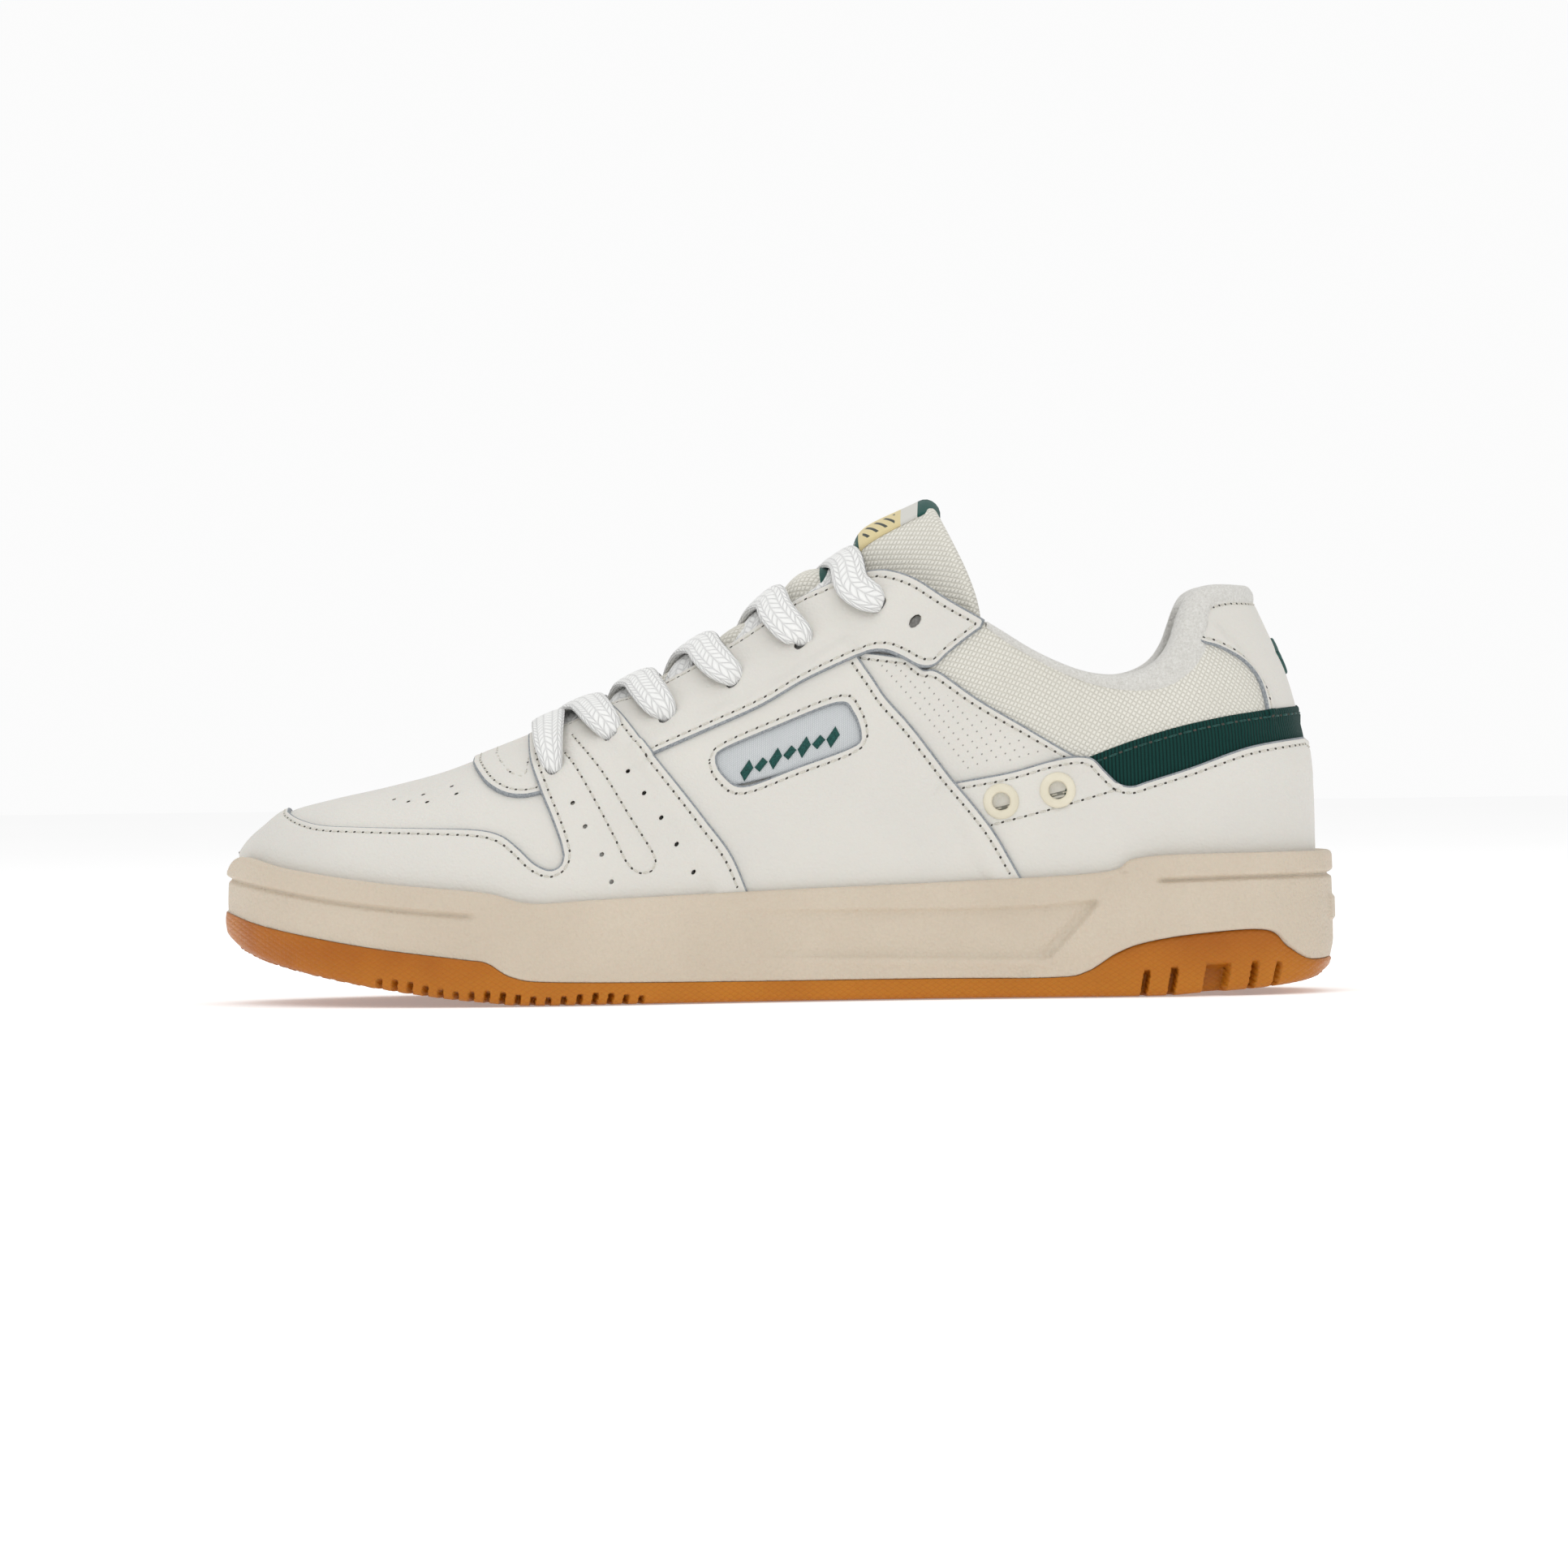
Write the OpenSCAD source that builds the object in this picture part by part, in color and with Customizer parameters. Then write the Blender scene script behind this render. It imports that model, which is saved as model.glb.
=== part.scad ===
// Low court shoe for the left foot, standing on its sole.
// The toe points to -X, the heel to +X, the outer side of the foot to -Y and the ground is Z = 0.
// The upper is a stack of thin leather, cloth and foam pieces that all follow one lasted surface.
// Depths are measured inwards from that surface: the overlays' outer face is at depth 0.

/* [Sole] */
// Length of the sole, toe tip to heel
sole_length = 298; // [292:1:304]
// Thickness of the cup's side wall
cup_wall = 3; // [2.6:0.1:3.2]
// Thickness of the cup's floor above the rubber outsole
cup_floor = 2.5; // [2:0.1:3]
// Thickness of the removable sockliner
sockliner_t = 4.5; // [3:0.5:5]
// Depth of the tread slots cut into the outsole's edge
slot_depth = 7; // [4:1:10]

/* [Upper] */
// Thickness of each leather piece
leather_t = 1.2; // [1:0.1:1.2]
// Thickness of the cloth linings
lining_t = 1.2; // [1:0.1:1.2]
// Thickness of the foam in the collar at the ankle
collar_pad = 7; // [5:0.5:7.5]
// Thickness of the foam in the tongue
tongue_pad = 4.5; // [3:0.5:5]
// Width of the flat lace
lace_w = 8; // [6:0.5:8]
// Thickness of the flat lace
lace_t = 1.8; // [1.4:0.1:1.8]
// Diameter of the lace holes
eyelet_d = 4.4; // [4.2:0.1:4.8]
// Outer diameter of the vent rings
vent_od = 9.5; // [8:0.5:10]
// Diameter of the hole in each vent ring
vent_id = 4.8; // [4:0.2:5.4]

/* [Hidden] */

OUTER = -1;            // the little-toe side of the foot, towards -Y
INNER = 1;             // the big-toe side, towards +Y
kx = sole_length / 298;
gap = 0.3;             // between two layers of the upper
glue = 0.1;            // between two glued parts of the sole
upper_inset = cup_wall + 0.4;
tuck = 6;              // how far the upper goes down inside the cup
tip_x = 149 * kx;

// Depth bands of the upper's layers, outer face first
base_top = -leather_t - gap;
base_bottom = base_top - leather_t;
stiff_top = base_bottom - gap;
stiff_t = 0.8;
lining_top = stiff_top;
lining_bottom = lining_top - lining_t;
toe_lining_top = stiff_top - stiff_t - gap;
heel_lining_top = toe_lining_top - 1;
tongue_rise = -4.1;    // the tongue's crown between the facings

// ---------- Curves through hand-placed points ----------

function mix(a, b, t) = a + (b - a) * t;
function clamp01(t) = max(0, min(1, t));
function smooth(t) = let (c = clamp01(t)) c * c * (3 - 2 * c);
function backwards(list) = [for (i = [len(list) - 1:-1:0]) list[i]];
function catmull(a, b, c, d, t) =
  0.5 * (2 * b + (c - a) * t + (2 * a - 5 * b + 4 * c - d) * t * t
    + (3 * b - a - 3 * c + d) * t * t * t);
function knot(p, i) = p[max(0, min(len(p) - 1, i))];
function curve_at(p, t) =
  let (s = clamp01(t) * (len(p) - 1), i = min(floor(s), len(p) - 2))
  catmull(knot(p, i - 1), p[i], p[i + 1], knot(p, i + 2), s - i);
function stretched(p) = [for (q = p) [q[0] * kx, q[1]]];
function profile(p) = let (s = stretched(p), n = 8 * (len(p) - 1))
  [for (k = [0:n]) curve_at(s, k / n)];
function wrapped(p, i) = p[(i + len(p)) % len(p)];
function closed_curve(p, n) = [for (i = [0:len(p) - 1], k = [0:n - 1])
  catmull(wrapped(p, i - 1), p[i], wrapped(p, i + 1), wrapped(p, i + 2), k / n)];
function inset_curve(p, d) = [for (i = [0:len(p) - 1])
  let (t = wrapped(p, i + 1) - wrapped(p, i - 1)) p[i] + d * [t[1], -t[0]] / norm(t)];
function spread(a, b, n) = [for (i = [0:n]) mix(a, b, (1 - cos(180 * i / n)) / 2)];

// ---------- Outline of the sole, seen from above ----------

outer_plan = stretched([[149, 2], [145, -17], [134, -28], [119, -34], [98, -36.5], [74, -36.5],
  [49, -36], [24, -37.5], [-1, -41], [-26, -46], [-48, -50.5], [-68, -52], [-86, -50.5],
  [-104, -46], [-120, -37.5], [-133, -26], [-143, -12]]);
inner_plan = stretched([[-149, 6], [-145, 20], [-135, 31.5], [-120, 42], [-102, 49], [-84, 52],
  [-66, 51.5], [-48, 48], [-26, 42], [-1, 37.5], [24, 36], [49, 37], [74, 39],
  [98, 40], [119, 37.5], [134, 31], [145, 20]]);
plan_steps = 6;
plan = closed_curve(concat(outer_plan, inner_plan), plan_steps);
toe_index = len(outer_plan) * plan_steps;
function outer_half(p) = backwards([for (i = [0:toe_index]) p[i]]);
function inner_half(p) = [for (i = [toe_index:len(p)]) wrapped(p, i)];
function plan_pair(d) = let (p = d == 0 ? plan : inset_curve(plan, d)) [outer_half(p), inner_half(p)];
wall_plan = plan_pair(0);
cavity_plan = plan_pair(cup_wall);
upper_plan = plan_pair(upper_inset);
board_plan = plan_pair(cup_wall + 0.9);
sock_plan = plan_pair(upper_inset + 7.6);
upper_tip = tip_x - upper_inset;

// ---------- Heights along the shoe, seen from the side ----------

ground_line = profile([[-149, 17.5], [-143, 13.6], [-130, 9.5], [-110, 5.3], [-90, 2.2],
  [-76, 0.7], [-66, 0], [-30, 0], [60, 0], [100, 0], [112, 0.6], [131, 1.8], [144, 3.8],
  [149, 6.5]]);
gum_line = profile([[-149, 24.5], [-136, 20.6], [-110, 15.8], [-84, 12.4], [-77, 11.3],
  [-70, 7.4], [-58, 6], [-10, 5.4], [40, 5.3], [73, 5.2], [82, 6.6], [90, 11.4], [98, 14.2],
  [112, 16.3], [130, 17], [136, 12.5], [142, 9], [149, 9]]);
cup_line = profile([[-149, 36.5], [-145, 39.5], [-132, 36.5], [-105, 32.6], [-78, 30],
  [-65, 27], [-45, 27.8], [0, 29.5], [45, 31], [86, 33], [95, 36.5], [110, 37.6], [149, 37.8]]);
board_line = profile([[-149, 30], [-138, 27.5], [-120, 23.5], [-80, 19], [-40, 18.3], [0, 20],
  [60, 22.4], [86, 23.6], [100, 25], [149, 26]]);
ridge_line = profile([[-146, 40], [-143, 44], [-139, 47.5], [-132, 52.5], [-120, 55.8],
  [-105, 59], [-90, 62.8], [-78, 67.2], [-68, 71], [-58, 75], [-44, 81], [-30, 88], [-12, 100],
  [7, 115], [28, 129], [42, 137], [56, 143], [75, 148], [110, 150], [149, 150]]);
heel_lean = [[30, 0], [50, 0.2], [58, 0.6], [64, 1.2], [70, 2.2], [77, 4], [84, 6], [90, 8.2],
  [99, 12.3], [106, 15.5], [120, 22]];

function ground_z(x) = max(0, lookup(x, ground_line));
function gum_z(x) = lookup(x, gum_line);
function cup_z(x) = lookup(x, cup_line);
function board_z(x) = lookup(x, board_line);
function ridge_z(x) = lookup(x, ridge_line);

// ---------- The lasted surface of the upper ----------
// A section is a rounded arch. Its place v runs from 0 at the outer feather edge, over the ridge
// at 1, to 2 at the inner feather edge.

arch_width_power = 2.2;
arch_height_power = 2.4;
function arch_foot(x) = cup_z(x) - tuck - 2;
function half_w(x) = (lookup(x, upper_plan[1]) - lookup(x, upper_plan[0])) / 2;
function mid_y(x) = (lookup(x, upper_plan[1]) + lookup(x, upper_plan[0])) / 2;
function lean_share(x) = pow(clamp01((x - 50) / (upper_tip - 50)), 1.5);
function arch(x, v) =
  let (z = arch_foot(x) + (ridge_z(x) - arch_foot(x)) * pow(abs(sin(90 * v)), 2 / arch_height_power),
    y = mid_y(x) - sign(cos(90 * v)) * half_w(x) * pow(abs(cos(90 * v)), 2 / arch_width_power))
  [x - lookup(z, heel_lean) * lean_share(x), y, z];
function arch_normal(x, v) =
  let (across = arch(x, min(2, v + 0.01)) - arch(x, max(0, v - 0.01)),
    along = arch(min(upper_tip, x + 0.7), v) - arch(max(-upper_tip, x - 0.7), v),
    n = cross(along, across), m = half_w(x) < 1 ? [n[0], 0, n[2]] : n)
  m / norm(m);
function shell(x, v, depth) = arch(x, v) + depth * arch_normal(x, v);

// From a point of the side view to its place on the surface
function station(p) = let (lean = lookup(p[1], heel_lean),
    a = p[0] + lean * lean_share(p[0]), b = p[0] + lean * lean_share(a),
    c = p[0] + lean * lean_share(b))
  max(-upper_tip, min(upper_tip, p[0] + lean * lean_share(c)));
function section_place(x, z) = asin(pow(clamp01((z - arch_foot(x)) / (ridge_z(x) - arch_foot(x))),
  arch_height_power / 2)) / 90;
function place(p, side) = let (x = station(p), v = section_place(x, p[1]))
  [x, side == OUTER ? v : 2 - v];
function on_upper(p, side, depth) = let (q = place(p, side)) shell(q[0], q[1], depth);

// ---------- Solids made from grids of points ----------

function quad(a, b, c, d) = [[a, b, c], [a, c, d]];
function grid_faces(rows, cols) =
  let (n = rows * cols, top = function (i, j) i * cols + j, low = function (i, j) n + i * cols + j)
  concat(
    [for (i = [0:rows - 2], j = [0:cols - 2])
      each quad(top(i, j), top(i, j + 1), top(i + 1, j + 1), top(i + 1, j))],
    [for (i = [0:rows - 2], j = [0:cols - 2])
      each quad(low(i, j), low(i + 1, j), low(i + 1, j + 1), low(i, j + 1))],
    [for (i = [0:rows - 2]) each quad(top(i, 0), top(i + 1, 0), low(i + 1, 0), low(i, 0))],
    [for (i = [0:rows - 2]) each quad(top(i, cols - 1), low(i, cols - 1),
      low(i + 1, cols - 1), top(i + 1, cols - 1))],
    [for (j = [0:cols - 2]) each quad(top(0, j), low(0, j), low(0, j + 1), top(0, j + 1))],
    [for (j = [0:cols - 2]) each quad(top(rows - 1, j), top(rows - 1, j + 1),
      low(rows - 1, j + 1), low(rows - 1, j))]);

// A sheet between an outer and an inner grid of points
module sheet(outer, inner) {
  polyhedron(concat([for (row = outer) each row], [for (row = inner) each row]),
    grid_faces(len(outer), len(outer[0])), convexity = 6);
}

// A solid through a row of rings
module loft(rings) {
  n = len(rings[0]);
  last = (len(rings) - 1) * n;
  polyhedron([for (ring = rings) each ring],
    concat(
      [for (i = [0:len(rings) - 2], j = [0:n - 1]) let (k = (j + 1) % n)
        each quad(i * n + j, i * n + k, (i + 1) * n + k, (i + 1) * n + j)],
      [[for (j = [n - 1:-1:0]) j]],
      [[for (j = [0:n - 1]) last + j]]),
    convexity = 6);
}

// Makes one plain mesh of shapes that are cut or joined
module as_mesh() {
  resize([0, 0, 0]) children();
}

// ---------- Pieces of the upper ----------

// Fills the space inside four edges; edges are point lists in the side view
function coons(low, high, left, right, u, v) =
  let (b = curve_at(low, u), t = curve_at(high, u), l = curve_at(left, v), r = curve_at(right, v),
    b0 = low[0], b1 = low[len(low) - 1], t0 = high[0], t1 = high[len(high) - 1])
  mix(b, t, v) + mix(l, r, u) - mix(mix(b0, b1, u), mix(t0, t1, u), v);
function coons_grid(edges, nu, nv) = [for (i = [0:nu]) [for (j = [0:nv])
  coons(edges[0], edges[1], edges[2], edges[3], i / nu, j / nv)]];
function mapped(grid, side, depth) = [for (row = grid) [for (p = row) on_upper(p, side, depth)]];
function drop_first(list) = [for (i = [1:len(list) - 1]) list[i]];

// A piece on one side of the shoe
module side_piece(edges, side, top, bottom, nu = 14, nv = 6) {
  grid = coons_grid(edges, nu, nv);
  ordered = side == OUTER ? grid : backwards(grid);
  sheet(mapped(ordered, side, top), mapped(ordered, side, bottom));
}

// A piece whose last edge lies on the centre line, continued on the other side. Its grid is laid
// out by station and height, with columns crowded towards the centre line.
function at_station(p, side, depth) = let (v = section_place(p[0], p[1]))
  shell(p[0], side == OUTER ? v : 2 - v, depth);
function stations_of(edge) = [for (p = edge) [station(p), p[1]]];
module centre_piece(edges, top, bottom, nu = 14, nv = 6, toe = false) {
  e = [for (edge = edges) stations_of(edge)];
  grid = [for (i = [0:nu]) let (u = toe ? i / nu : sin(90 * i / nu))
    [for (j = [0:nv]) coons(e[0], e[1], e[2], e[3], u, j / nv)]];
  first = toe ? INNER : OUTER;
  other = drop_first(backwards(grid));
  function both(depth) = concat([for (row = grid) [for (p = row) at_station(p, first, depth)]],
    [for (row = other) [for (p = row) at_station(p, -first, depth)]]);
  sheet(both(top), both(bottom));
}

// The layers under the toe overlay lie a little deeper where the toe curves tightly
function toe_relief(x) = 0.8 * smooth((-110 * kx - x) / 20);

// A piece given by rows of station and place, across the ridge
module ridge_piece(places, top, bottom) {
  sheet([for (row = places) [for (q = row) shell(q[0], q[1], top - toe_relief(q[0]))]],
    [for (row = places) [for (q = row) shell(q[0], q[1], bottom - toe_relief(q[0]))]]);
}

function bottom_edge(a, b, n) = [for (i = [0:n]) let (x = mix(a, b, i / n)) [x, cup_z(x) - tuck]];

// Heights on the heel's centre line, where both sides of a piece meet
function heel_edge(low, high) = [for (i = [0:4]) let (z = mix(low, high, i / 4))
  [upper_tip + 1 - lookup(z, heel_lean), z]];

// Edges that neighbouring pieces share
wing_front = stretched([[-57, 36.5], [-56.5, 40], [-59.5, 49.5], [-63, 57.5], [-65.5, 65], [-66, 70]]);
wing_rear = stretched([[-6, 22.5], [-11.5, 38], [-18.5, 48], [-25.5, 57], [-33, 66.5], [-40, 76],
  [-44.5, 79.5]]);
wing_top = stretched([[-66, 70], [-56, 74], [-44.5, 79.5]]);
mudguard_top = stretched([[-57, 36.5], [-63, 37.5], [-70, 43.5], [-77, 46.5], [-90, 47.3],
  [-110, 47.8], [-123, 48.5], [-132, 52.4]]);
mid_rear = stretched([[68, 25], [64.5, 33], [58.5, 43.5], [48, 57.5], [36, 73], [26, 86], [23, 90.5]]);
facing_top = stretched([[-44, 79.5], [-30, 85], [-12, 95], [5, 106], [20, 113], [31, 115],
  [42, 110], [56, 101]]);
facing_low = stretched([[-32.5, 66.5], [-18, 72], [-4, 78], [8.5, 85.5], [22, 91], [31, 92.3],
  [38, 88.3], [44, 90], [54.5, 98.5]]);
collar_seam = stretched([[57, 98], [63, 93.8], [71, 88.8], [79, 84.6], [87, 81.8], [95, 80.8],
  [102, 82], [107, 85.4], [111, 90], [113.5, 95], [115.5, 100], [119, 103.5], [125, 104.5],
  [132, 104.5]]);
collar_top = stretched([[57, 100.5], [64, 96], [72, 91.5], [80, 87.6], [88, 86.2], [95, 87.5],
  [101, 91], [106, 98], [110, 104], [114, 108], [119, 110], [125, 110.6], [132, 110.6]]);
ribbon_top = stretched([[84, 63.6], [95, 67.7], [107, 71.1], [119, 73.8], [131, 75.5], [142, 77.2]]);
foxing_top = stretched([[48, 57.5], [62, 60], [77, 63.8], [84, 63], [91, 57], [96, 56.3],
  [110, 60], [127, 66], [144, 68.6]]);
eyelets = stretched([[-59, 62.5], [-44, 71], [-29, 76.5], [-11, 85.5], [7, 95.5], [28, 105],
  [37.5, 100.5]]);
vents = stretched([[60, 52.2], [75, 55]]);
window = stretched([[-15, 59.5], [-8, 57.5], [19, 67], [22.3, 70.5], [19.5, 77.5], [14, 78.3],
  [-13, 67.2]]);

// Straight cutters along the surface's normal
module bored(p, side, d, reach = 7) {
  q = place(p, side);
  n = arch_normal(q[0], q[1]);
  translate(shell(q[0], q[1], 0))
    rotate([0, acos(n[2]), atan2(n[1], n[0])])
      translate([0, 0, -reach]) cylinder(d = d, h = 2 * reach, $fn = 16);
}

// The vamp stops in front of the wings, further back low down than at the throat
function vamp_end(v) = mix(-44, -67, smooth(min(v, 2 - v) / 0.42)) * kx;
function vamp_grid(front, cut, v0, n, m) = [for (i = [0:n]) [for (j = [0:m])
  let (v = mix(v0, 2 - v0, j / m)) [mix(front, vamp_end(v) - cut, 1 - cos(90 * i / n)), v]]];

sole_stations = 38;    // the outsole and the cup share their stations, so they meet face to face

module outsole() {
  color("#c0803a")
    as_mesh() difference() {
      loft([for (x = spread(-tip_x + 0.2, tip_x - 0.2, sole_stations)) sole_ring(x, wall_plan, 0,
        ground_z(x), gum_z(x), 2)]);
      for (i = [0:17]) tread_slot(-106 + 4.1 * i, 1.3, 2.6);
      tread_slot(98, 1.3, 4.5);
      tread_slot(105.5, 1.4, 5);
      tread_slot(117.5, 6, 5.5);
      tread_slot(127, 1.3, 5.5);
      tread_slot(133.5, 1.2, 4.5);
    }
}

// Slots on both edges of the tread, a given height above the local ground line
module tread_slot(x, width, height) {
  for (side = [0, 1]) {
    edge = lookup(x * kx, wall_plan[side]);
    inwards = side == 0 ? 0 : -slot_depth;
    outwards = side == 0 ? -3 : 0;
    translate([x * kx - width / 2, edge + inwards + outwards, -1])
      cube([width, slot_depth + 3, 1 + ground_z(x * kx) + height]);
  }
}

// One section across the sole, from the inner bottom corner round to the inner top corner
function sole_ring(x, pair, shrink, low, high, corner) =
  let (a = lookup(x, pair[0]) + shrink, b = lookup(x, pair[1]) - shrink,
    r = min(corner, (b - a) / 3, (high - low) / 2), k = 0.3 * r)
  [[x, b - r, low], [x, a + r, low], [x, a + k, low + k], [x, a, low + r],
    [x, a, high], [x, b, high], [x, b, low + r], [x, b - k, low + k]];

module midsole_cup() {
  color("#e6dac3")
    as_mesh() difference() {
      loft([for (x = spread(-tip_x + 0.2, tip_x - 0.2, sole_stations)) sole_ring(x, wall_plan, 0,
        gum_z(x) + glue, cup_z(x), 0.3)]);
      loft([for (x = spread(-tip_x + cup_wall + 0.2, tip_x - cup_wall - 0.2, 40))
        sole_ring(x, cavity_plan, 0, gum_z(x) + cup_floor, cup_z(x) + 10, 1)]);
    }
}

module midsole_foam() {
  inner_tip = tip_x - cup_wall - 0.9;
  color("white") loft([for (x = spread(-inner_tip + 0.4, inner_tip - 0.4, 28))
    sole_ring(x, board_plan, 0, gum_z(x) + cup_floor + 0.6, board_z(x) - glue, 1)]);
}

module strobel_board() {
  inner_tip = tip_x - cup_wall - 0.9;
  color("gainsboro") loft([for (x = spread(-inner_tip + 0.4, inner_tip - 0.4, 28))
    sole_ring(x, board_plan, 0, board_z(x), board_z(x) + 1.5, 0.2)]);
}

module sockliner() {
  inner_tip = tip_x - upper_inset - 7.6;
  color("whitesmoke") loft([for (x = spread(-inner_tip + 0.4, inner_tip - 0.4, 28))
    sole_ring(x, sock_plan, 0, board_z(x) + 1.8, board_z(x) + 1.8 + sockliner_t, 1)]);
}

module toe_puff() {
  color("silver") ridge_piece([for (i = [0:6]) [for (j = [0:12])
    [mix(-141.5, -112, 1 - cos(15 * i)) * kx, mix(0.12, 1.88, j / 12)]]], stiff_top, stiff_top - stiff_t);
}

module heel_counter() {
  edges = [bottom_edge(78 * kx, upper_tip + 1, 8), stretched([[92, 50], [115, 58], [145.7, 62]]),
    [[78 * kx, cup_z(78 * kx) - tuck], [84 * kx, 42], [92 * kx, 50]],
    heel_edge(cup_z(tip_x) - tuck, 62)];
  color("silver") centre_piece(edges, stiff_top, stiff_top - 1.6, 12, 3);
}

module vamp() {
  color("#f3f1ea") ridge_piece(vamp_grid(-143.4 * kx, 0, 0.05, 12, 16), base_top, base_bottom);
}

module vamp_lining() {
  color("white") ridge_piece(vamp_grid(-141 * kx, 0.4, 0.07, 11, 14), toe_lining_top,
    toe_lining_top - lining_t);
}

// Toe overlay and its two wings, cut from one piece, which carry the first two lace holes
module mudguard() {
  toe_z = cup_z(-tip_x) - tuck;
  toe_edges = [[for (i = [0:9]) let (x = mix(-54 * kx, -upper_tip, sin(10 * i))) [x, cup_z(x) - tuck]],
    mudguard_top,
    [[-54 * kx, cup_z(-54 * kx) - tuck], mudguard_top[0]],
    [[-upper_tip, toe_z], [-145 * kx, 40], [-140 * kx, ridge_z(-140 * kx)], mudguard_top[7]]];
  wing_edges = [bottom_edge(-60 * kx, -6 * kx, 5), wing_top,
    concat([[-60 * kx, cup_z(-60 * kx) - tuck], [-57.5 * kx, 30]], wing_front), wing_rear];
  color("#f5f3ec") as_mesh() difference() {
    union() {
      centre_piece(toe_edges, 0, -leather_t, 20, 4, true);
      side_piece(wing_edges, OUTER, 0, -leather_t, 6, 7);
      side_piece(wing_edges, INNER, 0, -leather_t, 6, 7);
    }
    for (side = [OUTER, INNER], i = [0, 1]) bored(eyelets[i], side, eyelet_d);
  }
}

// Half-round reinforcement at the foot of the throat
module throat_patch() {
  color("#f5f3ec") ridge_piece([for (i = [0:5]) [for (j = [0:12])
    let (w = mix(-1, 1, j / 12), back = -66.8, v = 1 + 0.5 * w)
    [mix(back - 1 - 14 * sqrt(1 - w * w), back, i / 5) * kx, v]]], 0, -leather_t);
}

throat_line = dense(concat(wing_top, drop_first(facing_top)));
function throat_place(x) = section_place(x, lookup(x, throat_line) - 0.5);
module quarter_lining(side) {
  columns = [for (i = [0:13]) [for (j = [0:6])
    let (v = mix(0.06, throat_place(mix(-66, 56, i / 13) * kx), j / 6),
      x = mix(vamp_end(v) + 0.6, 56 * kx, i / 13))
    [x, side == OUTER ? v : 2 - v]]];
  ordered = side == OUTER ? columns : backwards(columns);
  color("white") as_mesh() difference() {
    ridge_piece(ordered, lining_top, lining_bottom);
    for (p = eyelets) bored(p, side, eyelet_d);
  }
}

module mid_panel(side) {
  edges = [bottom_edge(-5 * kx, 67.5 * kx, 6), [for (p = facing_low) if (p[0] < 23 * kx) p - [0, 0.4]],
    [for (p = wing_rear) if (p[1] < 67) p + [0.5, 0]], [for (p = mid_rear) p]];
  color("#f5f3ec") as_mesh() difference() {
    side_piece(edges, side, 0, -leather_t, 10, 8);
    window_cutter(side);
  }
}

module window_cutter(side) {
  rotate([90, 0, 0]) translate([0, 0, side == OUTER ? 5 : -70])
    linear_extrude(65) polygon(closed_curve(window, 3));
}

module window_patch(side) {
  edges = [stretched([[-21, 55], [24, 62]]), stretched([[-17, 70], [20, 84]]),
    stretched([[-21, 55], [-17, 70]]), stretched([[24, 62], [20, 84]])];
  color("#dcdedd") side_piece(edges, side, base_top, base_bottom, 6, 4);
}

// Perforated panel behind the mid panel
module vent_panel(side) {
  edges = [stretched([[45, 50], [62, 44], [88, 50]]), stretched([[27, 88], [41, 87], [55, 78.5],
    [67, 71], [85, 61.5]]), stretched([[45, 50], [27, 88]]), stretched([[88, 50], [85, 61.5]])];
  color("#f3f1ea") as_mesh() difference() {
    side_piece(edges, side, base_top, base_bottom, 8, 4);
    for (p = vents) bored(p, side, vent_id);
  }
}

module collar_canvas(side) {
  seam = [for (p = collar_seam) if (p[0] < 113 * kx) p + [p[0] > 100 * kx ? 2.6 : 0, -1.2]];
  edges = [stretched([[43, 88.5], [56, 79.5], [68, 72], [86, 62.5], [100, 62], [118, 66], [131, 70]]),
    seam, [[43 * kx, 88.5], seam[0]], concat([[131 * kx, 70], [130 * kx, 80], [125 * kx, 88]],
    [seam[len(seam) - 1]])];
  color("#efecd9") side_piece(edges, side, base_top, base_bottom, 12, 4);
}

// Thickness of the collar's foam, thin where the collar meets the facing
function pad_at(x) = mix(1.8, collar_pad, smooth((x / kx - 57) / 26));
function collar_station(i, n) = let (h = n / 2, k = i <= h ? i : n - i)
  mix(58 * kx, upper_tip, sin(90 * k / h));
function collar_view_x(s) = s - lookup(104, heel_lean) * lean_share(s);
function dense(edge) = profile([for (p = edge) [p[0] / kx, p[1]]]);
seam_line = dense(collar_seam);
crest_line = dense(collar_top);
function seam_z(x) = lookup(x, seam_line);
function crest_z(x) = lookup(x, crest_line);

// Rows of points round the collar; each row is a list of heights and depths
function collar_rows(section, n = 36) = [for (i = [0:n])
  let (s = collar_station(i, n), side = i <= n / 2 ? OUTER : INNER)
  [for (q = section(collar_view_x(s))) at_station([s, q[0]], side, q[1])]];

module collar_foam() {
  outer_face = function (x) let (s = seam_z(x), c = crest_z(x), t = pad_at(x))
    [[s - 26, stiff_top], [s - 13, stiff_top], [s - 0.5, stiff_top], [c - 2.2, stiff_top - 0.6]];
  inner_face = function (x) let (s = seam_z(x), c = crest_z(x), t = pad_at(x))
    [[s - 26, stiff_top - 0.6], [s - 13, stiff_top - 0.9 * t], [s - 0.5, stiff_top - t],
      [c - 2.2, stiff_top - 1.2 - 0.4 * t]];
  color("lightyellow") sheet(collar_rows(outer_face), collar_rows(inner_face));
}

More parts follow.
